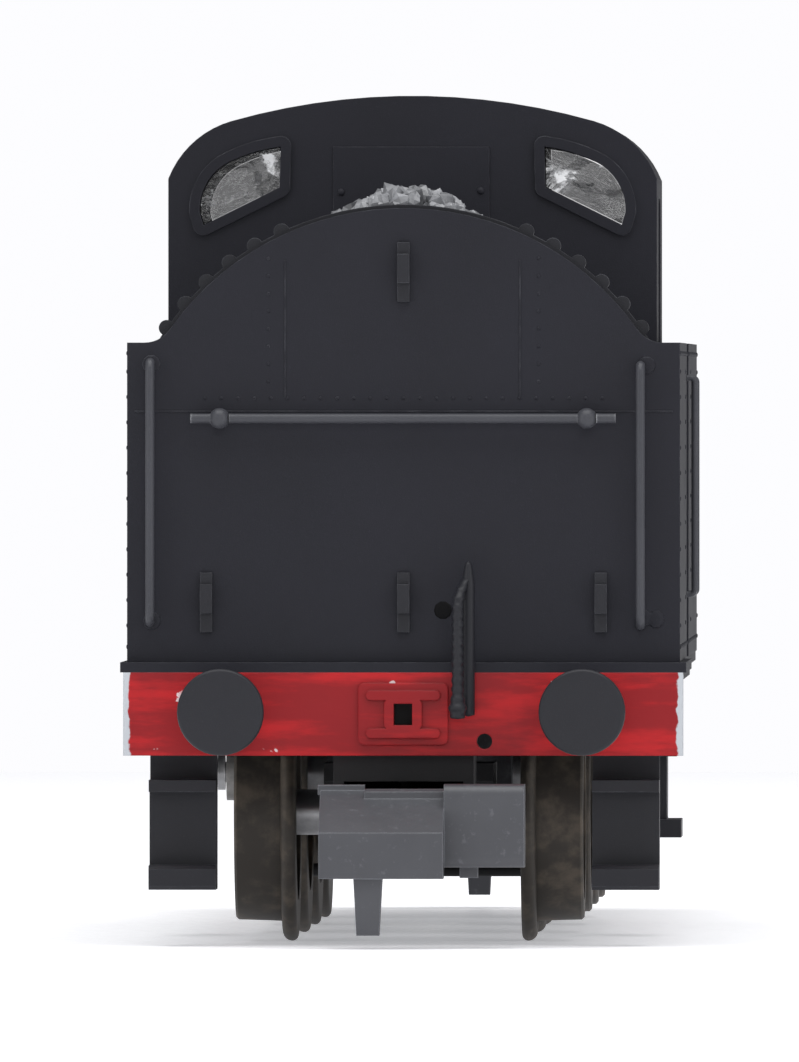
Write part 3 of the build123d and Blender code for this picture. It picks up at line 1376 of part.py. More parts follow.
# Lamp irons: a strip on the sheet, with a small ledge and an upstanding blade for the lamp.
iron_width = 0.4
iron_tall = 1.95
lower_iron_z = 10.28
top_iron_z = 21.08
lower_iron_x = 6.45
front_iron_bottom = footplate_top


def lamp_iron(x, face_y, bottom, out):
    """One lamp iron standing on the face at face_y, facing out (-1 rear, +1 front)."""
    for depth, low, high in (
        (0.14, 0.0, iron_tall),
        (0.42, 0.62, 0.8),
        (0.42, 1.12, 1.3),
    ):
        with BuildSketch(Plane.XY.offset(bottom + low)) as layer:
            with Locations((x, face_y + out * depth / 2)):
                Rectangle(iron_width, depth)
        extrude(layer.sketch, amount=high - low)
    with BuildSketch(Plane.XY.offset(bottom + 0.62)) as blade:
        with Locations((x, face_y + out * 0.36)):
            Rectangle(iron_width, 0.13)
    extrude(blade.sketch, amount=0.95)


with BuildPart() as lamp_irons:
    for iron_x in (-lower_iron_x, 0, lower_iron_x):
        lamp_iron(iron_x, rear_sheet_y, lower_iron_z, -1)
    lamp_iron(0, rear_sheet_y, top_iron_z, -1)
    for iron_x in (-lower_iron_x, 0, lower_iron_x):
        lamp_iron(iron_x, half_length - 1.2, front_iron_bottom, 1)
save(lamp_irons, "lamp_irons")

# Vacuum pipes: a standpipe on the beam with its hose hooped over and hanging beside it.
vacuum_x = 2.05
hose_x = 1.72
hose_radius = 0.22
pipe_top = 12.4
pipe_low = 7.75
with BuildPart() as vacuum_pipes:
    for end in (-1, 1):
        with BuildLine() as hose_path:
            start = (-end * vacuum_x, end * (half_length + 0.3), pipe_low)
            FilletPolyline(
                start,
                (-end * vacuum_x, end * (half_length + 0.3), pipe_top),
                (-end * hose_x, end * (half_length + 0.95), pipe_top),
                (-end * hose_x, end * (half_length + 0.95), pipe_low),
                radius=0.32,
            )
        with BuildSketch(Plane(origin=start, z_dir=(0, 0, 1))):
            Circle(hose_radius)
        sweep(path=hose_path.line)
        # coupling at the hose's end and the clip on the beam
        with Locations((-end * hose_x, end * (half_length + 0.95), pipe_low)):
            Sphere(0.32)
        with BuildSketch(Plane.XY.offset(pipe_low)):
            with Locations((-end * vacuum_x, end * (half_length + 0.3 - 0.15))):
                Rectangle(0.7, 0.3)
        extrude(amount=0.5)
save(vacuum_pipes, "vacuum_pipes")

# ---------------------------------------------------------------- steps and brakes
step_inner = 6.15
step_outer = 8.35
step_bottom = 1.85
step_plate_y = half_length - 3.3
step_plate_thickness = 0.45
riser_overlap = 0.15
upper_tread_bottom = 5.05
upper_tread_top = 5.44
upper_tread_depth = 2.2
riser_bottom = 2.6
riser_depth = 1.25
lower_tread_top = 2.65
lower_tread_depth = 2.5
with BuildPart() as rear_steps:
    riser_back = step_plate_thickness - riser_overlap
    for side in (-1, 1):
        middle_x = side * (step_inner + step_outer) / 2
        wide = step_outer - step_inner
        for bottom, top, near, far in (
            (step_bottom, footplate_underside, 0.0, step_plate_thickness),
            (upper_tread_bottom, upper_tread_top, riser_back, upper_tread_depth),
            (riser_bottom, upper_tread_top - 0.24, riser_back, riser_depth),
            (step_bottom, lower_tread_top, riser_back, lower_tread_depth),
        ):
            with BuildSketch(Plane.XY.offset(bottom)):
                with Locations((middle_x, -step_plate_y - (near + far) / 2)):
                    Rectangle(wide, far - near)
            extrude(amount=top - bottom)
    chamfer(rear_steps.edges().filter_by(Axis.X).group_by(Axis.Y)[0], 0.12)
save(rear_steps, "rear_steps")

cab_step_x = 8.1
cab_step_bottom = 3.3
cab_step_length = 4.0
with BuildPart() as cab_steps:
    for side in (-1, 1):
        for bottom, top, near, far, long in (
            (cab_step_bottom, footplate_underside, 0.0, 0.27, 3.2),
            (cab_step_bottom, cab_step_bottom + 0.6, 0.0, 0.75, cab_step_length),
            (6.0, 6.5, 0.0, 0.6, cab_step_length),
        ):
            with BuildSketch(Plane.XY.offset(bottom)):
                with Locations((side * (cab_step_x + (near + far) / 2), doorway_y)):
                    Rectangle(far - near, long)
            extrude(amount=top - bottom)
save(cab_steps, "cab_steps")

# Brake gear: hangers from the footplate with a shoe ahead of each driving wheel, and pull rods.
shoe_inner_radius = driving_tread_radius + 0.2
shoe_outer_radius = driving_tread_radius + 0.85
hanger_inner_x = 4.45
hanger_outer_x = 5.45
brake_rod_height = 2.0
with BuildPart() as brake_gear:
    for axle_y in driving_axles.values():
        for side in (-1, 1):
            with BuildSketch(upright(side * hanger_inner_x)):
                with Locations((axle_y, driving_axle_height)):
                    Circle(shoe_outer_radius)
                    Circle(shoe_inner_radius, mode=Mode.SUBTRACT)
                with Locations((axle_y + 5.3, driving_axle_height)):
                    Rectangle(3.0, 3.0, mode=Mode.INTERSECT)
            extrude(amount=side * (hanger_outer_x - hanger_inner_x))
            with BuildSketch(upright(side * (hanger_inner_x + 0.25))):
                with Locations((axle_y + 5.7, (brake_rod_height + footplate_underside) / 2)):
                    Rectangle(0.5, footplate_underside - brake_rod_height)
            extrude(amount=side * 0.4)
        rail_between(
            (-hanger_outer_x, axle_y + 5.7, brake_rod_height), (hanger_outer_x, axle_y + 5.7, brake_rod_height), 0.22
        )
save(brake_gear, "brake_gear")

# ---------------------------------------------------------------- couplers
# Moulded hook couplers: a pocket below the footplate, a sprung tail in it, and the hooked head.
pocket_half = 2.3
pocket_bottom = 3.8
pocket_floor = 4.15
pocket_roof = 5.4
pocket_front_y = coupler_swing_y - 1.9
pocket_mouth_y = half_length - beam_thickness
with BuildPart() as coupler_pockets:
    for end in (-1, 1):
        with BuildSketch(Plane.XY.offset(pocket_bottom)):
            with Locations((0, end * (pocket_front_y + pocket_mouth_y) / 2)):
                Rectangle(2 * pocket_half, pocket_mouth_y - pocket_front_y)
        extrude(amount=footplate_underside - pocket_bottom)
        with BuildSketch(Plane.XY.offset(pocket_floor)):
            with Locations((0, end * (pocket_front_y + 0.5 + pocket_mouth_y + 1) / 2)):
                Rectangle(2 * pocket_half - 0.7, pocket_mouth_y + 0.5 - pocket_front_y)
        extrude(amount=pocket_roof - pocket_floor, mode=Mode.SUBTRACT)
        with BuildSketch(Plane.XY.offset(pocket_floor)):
            with Locations((0, end * (coupler_swing_y))):
                Circle(0.4)
        extrude(amount=pocket_roof - pocket_floor)
save(coupler_pockets, "coupler_pockets")

spring_radius = 0.5
spring_wire_radius = 0.11
spring_pitch = 0.2
spring_turns = 2
pocket_wall = 0.5
with BuildPart() as coupler_springs:
    for end in (-1, 1):
        for turn in range(spring_turns):
            turn_y = end * (pocket_front_y + pocket_wall + spring_wire_radius + turn * spring_pitch)
            with Locations(Location((0, turn_y, (pocket_floor + pocket_roof) / 2), (90, 0, 0))):
                Torus(spring_radius, spring_wire_radius)
save(coupler_springs, "coupler_springs")

shank_half = 0.9
shank_bottom = 4.27
shank_top = 5.12
slope_top = 5.2
face_top = 3.8
face_bottom = 2.3
head_back_y = 38.4


def coupler(end):
    """One coupler: tail with a pivot eye, shank, hooked head, side block and drop tail."""

    def block(x_low, x_high, y_low, y_high, bottom, top):
        with BuildSketch(Plane.XY.offset(bottom)) as footprint:
            with Locations((-end * (x_low + x_high) / 2, end * (y_low + y_high) / 2)):
                Rectangle(x_high - x_low, y_high - y_low)
        extrude(footprint.sketch, amount=top - bottom)

    block(-1.6, 1.6, coupler_swing_y - 0.75, coupler_swing_y + 0.75, shank_bottom, shank_top)
    block(-shank_half, shank_half, coupler_swing_y, head_back_y + 0.6, shank_bottom, shank_top)
    # riser that drops from the shank to the head
    block(-1.2, 1.4, head_back_y - 0.8, head_back_y + 0.6, 2.9, shank_top)
    # hook block with its sloping top
    head_start = Plane(origin=(end * 2.65, 0, 0), x_dir=(0, end, 0), z_dir=(end, 0, 0))
    with BuildSketch(head_start) as head:
        with BuildLine():
            Polyline(
                (head_back_y, slope_top),
                (coupler_reach, face_top),
                (coupler_reach, face_bottom),
                (head_back_y + 0.9, face_bottom),
                (head_back_y, face_bottom + 0.9),
                close=True,
            )
        make_face()
    extrude(head.sketch, amount=-4.05)
    # side block, rounded at its outer corner
    side_start = Plane(origin=(-end * 1.4, 0, 0), x_dir=(0, end, 0), z_dir=(end, 0, 0))
    with BuildSketch(side_start) as side_block:
        with Locations((38.4, 4.0)):
            RectangleRounded(2.4, 2.7, 0.35)
    extrude(side_block.sketch, amount=-2.62)
    block(1.9, 2.5, 38.0, 38.8, 2.3, 2.8)
    block(-2.73, -1.2, 37.6, 38.5, 5.0, 5.33)
    # drop tail, tapering downwards
    with BuildSketch(Plane.XY.offset(face_bottom + 0.1)) as drop:
        with Locations((-end * -1.05, end * (coupler_reach - 0.75))):
            Rectangle(0.95, 1.1)
    extrude(drop.sketch, amount=-(face_bottom + 0.1 - 0.45), taper=3)
    with BuildSketch(Plane.XY.offset(shank_bottom)) as eye:
        with Locations((0, end * coupler_swing_y)):
            Circle(0.45)
    extrude(eye.sketch, amount=shank_top - shank_bottom, mode=Mode.SUBTRACT)


with BuildPart() as rear_coupler:
    coupler(-1)
save(rear_coupler, "rear_coupler")
with BuildPart() as front_coupler:
    coupler(1)
save(front_coupler, "front_coupler")
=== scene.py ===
from math import cos, pi, radians, sin

import bmesh
import bpy
import numpy as np
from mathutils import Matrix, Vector


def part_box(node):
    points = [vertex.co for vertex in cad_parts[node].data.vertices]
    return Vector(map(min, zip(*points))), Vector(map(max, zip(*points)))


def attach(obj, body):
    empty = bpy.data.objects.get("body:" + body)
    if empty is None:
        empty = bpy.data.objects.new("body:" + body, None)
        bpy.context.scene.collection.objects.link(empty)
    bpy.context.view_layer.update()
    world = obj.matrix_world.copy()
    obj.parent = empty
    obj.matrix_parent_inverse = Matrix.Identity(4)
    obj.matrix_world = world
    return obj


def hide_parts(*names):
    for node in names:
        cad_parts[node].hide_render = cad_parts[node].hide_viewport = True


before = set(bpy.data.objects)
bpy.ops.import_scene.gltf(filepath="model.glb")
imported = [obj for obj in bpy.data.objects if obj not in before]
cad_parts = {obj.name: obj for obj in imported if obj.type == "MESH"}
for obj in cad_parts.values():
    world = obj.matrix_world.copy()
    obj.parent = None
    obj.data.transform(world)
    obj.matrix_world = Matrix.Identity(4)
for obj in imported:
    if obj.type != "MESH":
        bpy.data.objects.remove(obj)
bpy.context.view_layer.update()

# ---------------------------------------------------------------- camera
# Looks along the locomotive from just right of its centre line, level with the top of the beam.
# A long lens a metre behind the bunker keeps the cab and the bunker sheet nearly one size.
MM = 0.001
bunker_low, bunker_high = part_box("tank_and_bunker")
sheet_y = bunker_low[1]
camera_data = bpy.data.cameras.new("studio_camera")
camera_data.sensor_width = 36
camera_data.lens = 1037
camera_data.clip_start = 0.05
camera_data.clip_end = 20
camera = bpy.data.objects.new("studio_camera", camera_data)
bpy.context.scene.collection.objects.link(camera)
bpy.context.scene.camera = camera
camera_distance = 1.0
camera_azimuth = radians(1.24)
camera_pitch = radians(0.267)
camera.location = (
    -0.13 * MM + camera_distance * sin(camera_azimuth),
    sheet_y - camera_distance * cos(camera_azimuth),
    18.25 * MM,
)
camera.rotation_euler = (pi / 2 - camera_pitch, 0, camera_azimuth)

# ---------------------------------------------------------------- studio
# White board under the model and white air round it, with soft boxes above, behind the camera and
# at both sides. Nothing here belongs to the locomotive.
bpy.context.scene.view_settings.view_transform = "Standard"


class Value:
    """One socket of a material, with Python's operators standing for Math nodes."""

    def __init__(self, paint, socket):
        self.paint = paint
        self.socket = socket

    def _with(self, operation, first, second):
        return self.paint.node("ShaderNodeMath", {"operation": operation}, {0: first, 1: second})

    def __add__(self, other):
        return self._with("ADD", self, other)

    def __radd__(self, other):
        return self._with("ADD", other, self)

    def __sub__(self, other):
        return self._with("SUBTRACT", self, other)

    def __rsub__(self, other):
        return self._with("SUBTRACT", other, self)

    def __mul__(self, other):
        return self._with("MULTIPLY", self, other)

    def __rmul__(self, other):
        return self._with("MULTIPLY", other, self)

    def above(self, edge, soft):
        """0 below edge, rising to 1 over the width soft."""
        settings = {"interpolation_type": "SMOOTHSTEP"}
        sockets = {"Value": self, "From Min": edge, "From Max": edge + soft}
        return self.paint.node("ShaderNodeMapRange", settings, sockets)

    def part(self, name):
        """Another output of the same node, such as a separated axis."""
        return Value(self.paint, self.socket.node.outputs[name])


class Paint:
    """A material: the shader's own values are set first, then nodes are added one by one."""

    def __init__(self, name, **constants):
        self.material = bpy.data.materials.new(name)
        self.material.use_nodes = True
        self.nodes = self.material.node_tree.nodes
        self.links = self.material.node_tree.links
        self.shader = self.nodes["Principled BSDF"]
        for socket, value in constants.items():
            self.shader.inputs[socket.replace("_", " ")].default_value = value

    def node(self, kind, settings=None, sockets=None, output=0):
        """Add a node of that kind with its settings and its socket values or links."""
        made = self.nodes.new(kind)
        for name, value in (settings or {}).items():
            if name == "stops":
                ramp = made.color_ramp
                while len(ramp.elements) < len(value):
                    ramp.elements.new(0.5)
                for element, (place, colour) in zip(ramp.elements, value):
                    element.position = place
                    element.color = colour
            else:
                setattr(made, name, value)
        for name, value in (sockets or {}).items():
            if isinstance(value, Value):
                self.links.new(value.socket, made.inputs[name])
            else:
                made.inputs[name].default_value = value
        return Value(self, made.outputs[output])

    def place(self):
        """Object coordinates, in metres in the locomotive's frame."""
        return self.node("ShaderNodeTexCoord", output="Object")

    def noise(self, scale, detail=3.0, roughness=0.5, place=None):
        """Cloudy pattern from 0 to 1, scale features to the metre."""
        sockets = {"Vector": place or self.place(), "Scale": scale, "Detail": detail, "Roughness": roughness}
        return self.node("ShaderNodeTexNoise", {}, sockets)

    def stretched(self, stretch):
        """Object coordinates scaled by a different amount along each axis."""
        return self.node("ShaderNodeMapping", {}, {"Vector": self.place(), "Scale": stretch})

    def blend(self, amount, first, second):
        """Colour mix from first to second by amount."""
        return self.node(
            "ShaderNodeMix", {"data_type": "RGBA"}, {"Factor": amount, 6: first, 7: second}, output=2
        )

    def edges(self, radius, samples=4):
        """1 on edges sharper than the radius, 0 on flat faces: how far a rounded normal leans away."""
        soft = self.node("ShaderNodeBevel", {"samples": samples}, {"Radius": radius})
        true = self.node("ShaderNodeNewGeometry", output="Normal")
        dot = {"operation": "DOT_PRODUCT"}
        facing = self.node("ShaderNodeVectorMath", dot, {0: soft, 1: true}, output="Value")
        return (1 - facing).above(0.04, 0.22)

    def bump(self, height, strength, distance, normal=None):
        """Relief from a height pattern, on top of another normal if one is given."""
        sockets = {"Height": height, "Strength": strength, "Distance": distance}
        if normal is not None:
            sockets["Normal"] = normal
        return self.node("ShaderNodeBump", {}, sockets)

    def into(self, socket, value):
        self.links.new(value.socket, self.shader.inputs[socket])

    def on(self, *pieces):
        """Give this material to CAD nodes, by name, or to new pieces."""
        for piece in pieces:
            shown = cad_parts[piece] if isinstance(piece, str) else piece
            shown.data.materials.clear()
            shown.data.materials.append(self.material)


def grid_mesh(name, points, close_u=False, close_v=False, smooth=True):
    """Mesh of a grid of points[u, v]: each cell of four neighbours is one face."""
    rows, columns = points.shape[:2]
    index = np.arange(rows * columns).reshape(rows, columns)
    u = np.arange(rows if close_u else rows - 1)
    v = np.arange(columns if close_v else columns - 1)
    uu, vv = np.meshgrid(u, v, indexing="ij")
    up = (uu + 1) % rows
    vp = (vv + 1) % columns
    faces = np.stack([index[uu, vv], index[up, vv], index[up, vp], index[uu, vp]], axis=-1).reshape(-1, 4)
    return mesh_piece(name, points.reshape(-1, 3), faces, smooth)


def mesh_piece(name, points, faces, smooth=True):
    """Object at the origin from an array of points and an array of equal-sided faces."""
    mesh = bpy.data.meshes.new(name)
    mesh.from_pydata(points.tolist(), [], faces.tolist())
    mesh.polygons.foreach_set("use_smooth", np.full(len(faces), smooth))
    mesh.update()
    made = bpy.data.objects.new(name, mesh)
    bpy.context.scene.collection.objects.link(made)
    return made


# Flat white board, a little under half a metre each way from the model.
board_reach = np.linspace(-0.42, 0.42, 9)
board_x, board_y = np.meshgrid(board_reach, board_reach, indexing="ij")
board_points = np.stack([board_x, board_y, np.zeros_like(board_x)], axis=-1)
board = grid_mesh("studio_board", board_points)
board_paint = Paint("white_board", Roughness=0.34, Base_Color=(0.9, 0.9, 0.92, 1))
board_paint.shader.inputs["Emission Color"].default_value = (0.95, 0.96, 1.0, 1)
board_paint.shader.inputs["Emission Strength"].default_value = 0.35
board_grain = board_paint.noise(900.0, detail=6.0)
board_paint.into("Normal", board_paint.bump(board_grain, 0.25, 0.0006))
board_paint.on(board)

world = bpy.data.worlds.new("studio_air")
bpy.context.scene.world = world
world.use_nodes = True
air = world.node_tree
lit_air = air.nodes["Background"]
lit_air.inputs["Color"].default_value = (1, 1, 1, 1)
lit_air.inputs["Strength"].default_value = 0.32
seen_air = air.nodes.new("ShaderNodeBackground")
seen_air.inputs["Color"].default_value = (0.98, 0.98, 1.0, 1)
air_choice = air.nodes.new("ShaderNodeMixShader")
air.links.new(air.nodes.new("ShaderNodeLightPath").outputs["Is Camera Ray"], air_choice.inputs[0])
air.links.new(lit_air.outputs[0], air_choice.inputs[1])
air.links.new(seen_air.outputs[0], air_choice.inputs[2])
air.links.new(air_choice.outputs[0], air.nodes["World Output"].inputs["Surface"])


def soft_box(name, place, aim, size, power):
    """Square area light at place, turned to aim."""
    data = bpy.data.lights.new(name, "AREA")
    data.shape = "RECTANGLE"
    data.size, data.size_y = size
    data.energy = power
    light = bpy.data.objects.new(name, data)
    light.location = place
    light.rotation_euler = (Vector(aim) - Vector(place)).to_track_quat("-Z", "Y").to_euler()
    bpy.context.scene.collection.objects.link(light)


model_middle = (0, -0.02, 0.014)
soft_box("top_light", (0, -0.15, 0.6), model_middle, (0.7, 0.7), 5.6)
soft_box("left_light", (-0.6, -0.45, 0.25), model_middle, (0.4, 0.5), 1.3)
soft_box("right_light", (0.6, -0.45, 0.25), model_middle, (0.4, 0.5), 1.5)
soft_box("front_light", (0.1, -1.2, 0.35), model_middle, (0.6, 0.4), 1.7)

# ---------------------------------------------------------------- black body mouldings
# Tanks, bunker, upper cab, boiler and footplate: styrene mouldings sprayed matt charcoal. The spray
# leaves a fine tooth. The sharp edges are a paler grey, partly rubbed by handling and partly a painted
# highlight.
BODY = "locomotive"
charcoal = (0.0078, 0.0080, 0.0118, 1)
# Paler grey for the edges: rubbed wear and a painted highlight.
charcoal_worn_and_highlight = (0.11, 0.114, 0.13, 1)


def matt_black(name, tone=charcoal, worn=charcoal_worn_and_highlight, roughness=0.56, wear_and_highlight=0.5, edge=0.05 * MM):
    """Sprayed matt plastic: clouded tone, fine speckle, and paler edges: rubbed in patches, with a painted
    highlight all along.
    """
    paint = Paint(name, Specular_IOR_Level=0.2)
    cloud = paint.noise(220.0, detail=4.0)
    speckle = paint.noise(16000.0, detail=2.0)
    lighter = tuple(min(1.0, 1.9 * c) for c in tone[:3]) + (1,)
    colour = paint.blend(cloud * 0.55 + speckle.above(0.58, 0.2) * 0.45, tone, lighter)
    rubbed = paint.noise(1500.0, detail=5.0).above(0.42, 0.25)
    edges = paint.edges(edge)
    # Edges blend to the paler grey: a steady quarter of the amount on every edge is a painted highlight, and
    # the noise patches on top are rubbed wear.
    paint.into("Base Color", paint.blend(edges * (rubbed * wear_and_highlight + 0.25 * wear_and_highlight), colour, worn))
    paint.into("Roughness", cloud * 0.1 + speckle * 0.1 + (roughness - 0.1))
    tooth = paint.noise(24000.0, detail=3.0)
    rounded = paint.node("ShaderNodeBevel", {"samples": 4}, {"Radius": 0.04 * MM})
    paint.into("Normal", paint.bump(tooth + 0.35 * paint.noise(2600.0), 0.3, 0.012 * MM, rounded))
    return paint


body_paint = matt_black("body_matt_charcoal")
body_paint.on("tank_and_bunker", "cab_upper", "boiler", "footplate")
fittings_paint = matt_black("fittings_satin_black", (0.0115, 0.0118, 0.0148, 1), roughness=0.42, wear_and_highlight=0.7)
fittings_paint.on(
    "smokebox_door", "chimney", "steam_dome", "tank_fillers", "rear_steps", "cab_steps",
    "lamp_irons", "buffers", "bunker_hoop", "cab_interior", "rear_handrail", "vertical_handrails",
    "boiler_handrails", "vacuum_pipes",
)

# ---------------------------------------------------------------- rivets
# Snap-head rivets moulded on the bunker sheet: two upright rows below the dome, a row across at
# the seam, and rows along the sides of the tanks and the bunker.
rivet_radius = 0.085 * MM
rivet_height = 0.05 * MM
rings = np.linspace(0, pi / 2, 4)
turns = np.linspace(0, 2 * pi, 10, endpoint=False)


def rivet_rows(name, centres, outward, radius=rivet_radius, height=rivet_height):
    """One mesh of many rivet heads: each is a quarter ellipse turned about the outward axis.

    centres is an array of points on the face; outward is 0, 1 or 2 with a sign, the face's axis.
    """
    axis, sign = outward
    across_u, across_v = [i for i in range(3) if i != axis]
    dome = np.zeros((len(rings), len(turns), 3))
    dome[..., across_u] = radius * np.cos(rings)[:, None] * np.cos(turns)[None, :]
    dome[..., across_v] = radius * np.cos(rings)[:, None] * np.sin(turns)[None, :]
    dome[..., axis] = sign * height * np.sin(rings)[:, None]
    top = len(rings) - 1
    ring_points = dome[:top].reshape(-1, 3)
    crown = np.zeros((1, 3))
    crown[0, axis] = sign * height
    one = np.concatenate([ring_points, crown])
    points = (centres[:, None, :] + one[None, :, :]).reshape(-1, 3)
    count = len(turns)
    u, v = np.meshgrid(np.arange(top - 1), np.arange(count), indexing="ij")
    next_v = (v + 1) % count
    lower, upper = u * count, (u + 1) * count
    quads = np.stack([lower + v, lower + next_v, upper + next_v, upper + v], axis=-1).reshape(-1, 4)
    last = (top - 1) * count
    fan = np.arange(count)
    caps = np.stack([last + fan, last + (fan + 1) % count, np.full(count, len(one) - 1)], axis=-1)
    base = np.arange(count)[::-1]
    offsets = np.arange(len(centres))[:, None, None] * len(one)
    all_faces = (quads[None] + offsets).reshape(-1, 4).tolist()
    all_faces += (caps[None] + offsets).reshape(-1, 3).tolist()
    all_faces += (base[None, None] + offsets).reshape(-1, count).tolist()
    mesh = bpy.data.meshes.new(name)
    mesh.from_pydata(points.tolist(), [], all_faces)
    made = bpy.data.objects.new(name, mesh)
    bpy.context.scene.collection.objects.link(made)
    tidy = bmesh.new()
    tidy.from_mesh(mesh)
    bmesh.ops.recalc_face_normals(tidy, faces=tidy.faces)
    tidy.to_mesh(mesh)
    tidy.free()
    body_paint.on(made)
    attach(made, BODY)
    return made


def row(start, end, pitch):
    """Evenly spaced points from start to end, as near the pitch as fits."""
    start, end = np.array(start), np.array(end)
    count = max(2, int(round(np.linalg.norm(end - start) / pitch)) + 1)
    return start + (end - start) * np.linspace(0, 1, count)[:, None]


rivet_pitch = 0.55 * MM
seam_z = 17.93 * MM
upright_x = 4.42 * MM
upright_foot = seam_z + rivet_pitch
upright_top = 22.5 * MM
sheet_rivets = [
    row((side * upright_x, sheet_y, upright_foot), (side * upright_x, sheet_y, upright_top), rivet_pitch)
    for side in (-1, 1)
]
sheet_rivets.append(row((-6.5 * MM, sheet_y, seam_z), (6.5 * MM, sheet_y, seam_z), rivet_pitch))
rivet_rows("sheet_rivets", np.concatenate(sheet_rivets), (1, -1), 0.06 * MM, 0.032 * MM)

side_x = bunker_high[0]
tank_front = bunker_high[1]
cab_low, cab_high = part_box("cab_upper")
side_rivets = []
edge_inset = 0.4 * MM
doorway_inset = 3.6 * MM
bunker_run = (sheet_y + edge_inset, cab_low[1] + doorway_inset)
tank_run = (cab_high[1] - doorway_inset, tank_front - edge_inset)
side_pitch = 0.8 * MM
column_foot = bunker_low[2] + 1.2 * MM
column_top = 18.8 * MM
for side in (-1, 1):
    for low_y, high_y in (bunker_run, tank_run):
        for z in (bunker_low[2] + 0.5 * MM, 19.4 * MM):
            side_rivets.append(row((side * side_x, low_y, z), (side * side_x, high_y, z), side_pitch))
    for y in (bunker_run[0], cab_low[1] - 0.1 * MM, cab_high[1] + 0.6 * MM, tank_run[1]):
        side_rivets.append(row((side * side_x, y, column_foot), (side * side_x, y, column_top), side_pitch))
right_side = [r for r in side_rivets if r[0, 0] > 0]
left_side = [r for r in side_rivets if r[0, 0] < 0]
rivet_rows("right_side_rivets", np.concatenate(right_side), (0, 1), 0.08 * MM, 0.04 * MM)
rivet_rows("left_side_rivets", np.concatenate(left_side), (0, -1), 0.08 * MM, 0.04 * MM)

# ---------------------------------------------------------------- buffer beams
# Plastic beams brushed with signal red over the black moulding: the brush leaves streaks, the
# red is darker in patches, and the ends of each beam are pale grey behind a ragged edge.
beam_paint = Paint("beam_red", Specular_IOR_Level=0.25)
red = (0.215, 0.0035, 0.0065, 1)
red_light = (0.38, 0.007, 0.010, 1)
red_dark = (0.10, 0.003, 0.006, 1)
pale_end_grey = (0.42, 0.44, 0.47, 1)
streak_place = beam_paint.stretched((260.0, 260.0, 1500.0))
streaks = beam_paint.node(
    "ShaderNodeTexNoise", {}, {"Vector": streak_place, "Scale": 1.0, "Detail": 5.0, "Roughness": 0.6}
)
patches = beam_paint.noise(420.0, detail=3.0)
beam_colour = beam_paint.blend(streaks.above(0.44, 0.22), red, red_light)
beam_colour = beam_paint.blend(patches.above(0.56, 0.2) * 0.55, beam_colour, red_dark)
beam_axes = beam_paint.node("ShaderNodeSeparateXYZ", {}, {"Vector": beam_paint.place()})
beam_x = beam_axes.part("X")
beam_reach = beam_paint.node("ShaderNodeMath", {"operation": "ABSOLUTE"}, {0: beam_x})
ragged_end_noise = beam_paint.noise(2600.0, detail=4.0)
end_start = 8.93 * MM
# Past end_start the beam turns pale grey along a ragged edge.
pale_ends = (beam_reach + (ragged_end_noise - 0.5) * (0.34 * MM)).above(end_start, 0.06 * MM)
beam_colour = beam_paint.blend(pale_ends, beam_colour, pale_end_grey)
spot_noise = beam_paint.noise(1300.0, detail=4.0)
spots = spot_noise.above(0.70, 0.02)
beam_colour = beam_paint.blend(spots * 0.8, beam_colour, (0.62, 0.55, 0.56, 1))
beam_paint.into("Base Color", beam_colour)
beam_paint.into("Roughness", 0.34 + streaks * 0.22)
beam_round = beam_paint.node("ShaderNodeBevel", {"samples": 4}, {"Radius": 0.07 * MM})
beam_paint.into("Normal", beam_paint.bump(streaks + 0.5 * ragged_end_noise, 0.5, 0.03 * MM, beam_round))
beam_paint.on("buffer_beams")

# ---------------------------------------------------------------- coal
# A moulded coal load: glossy grey lumps heaped on the bunker floor, highest at the centre. Every
# lump is a small faceted stone, turned and stretched at random, sunk into the heap below it.
coal_low, coal_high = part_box("coal_load")
random = np.random.default_rng(11)


def heap_height(x, y):
    """Height of the heap: a broad cosine crown across, with a small peak at the centre."""
    half = coal_high[0] - 0.5 * MM
    crown = np.cos(np.clip(x / half, -1, 1) * pi / 2) ** 0.75
    peak = np.exp(-((x + 0.1 * MM) ** 2) / (2 * (1.9 * MM) ** 2))
    return 18.8 * MM + 4.5 * MM * crown + 1.25 * MM * peak


def stones(name, centres, sizes):
    """Stones at the centres: a cube's 26 surface points pushed onto a lumpy ball and squashed."""
    steps = np.array([-1.0, 0.0, 1.0])
    grid = [(x, y, z) for x in steps for y in steps for z in steps]
    cube = np.array([point for point in grid if max(np.abs(point)) == 1])
    lookup = {tuple(p): i for i, p in enumerate(cube)}
    quads = []
    for axis in range(3):
        u_axis, v_axis = (axis + 1) % 3, (axis + 2) % 3
        for side in (-1.0, 1.0):
            for u in (-1.0, 0.0):
                for v in (-1.0, 0.0):
                    corners = []
                    for du, dv in ((0, 0), (1, 0), (1, 1), (0, 1)):
                        point = [0.0, 0.0, 0.0]
                        point[axis], point[u_axis], point[v_axis] = side, u + du, v + dv
                        corners.append(lookup[tuple(point)])
                    quads.append(corners if side > 0 else corners[::-1])
    quads = np.array(quads)
    unit = cube / np.linalg.norm(cube, axis=1)[:, None]
    count = len(centres)
    lumps = unit[None] * (1 + random.normal(0, 0.16, (count, len(unit), 1)))
    lumps = lumps * random.uniform(0.65, 1.15, (count, 1, 3))
    turn = random.normal(size=(count, 3, 3))
    frames = np.linalg.qr(turn)[0]
    frames[np.linalg.det(frames) < 0, :, 0] *= -1
    lumps = np.einsum("nij,nkj->nki", frames, lumps) * sizes[:, None, None]
    points = (lumps + centres[:, None, :]).reshape(-1, 3)
    faces = (quads[None] + np.arange(count)[:, None, None] * len(unit)).reshape(-1, 4)
    return mesh_piece(name, points, faces, smooth=False)


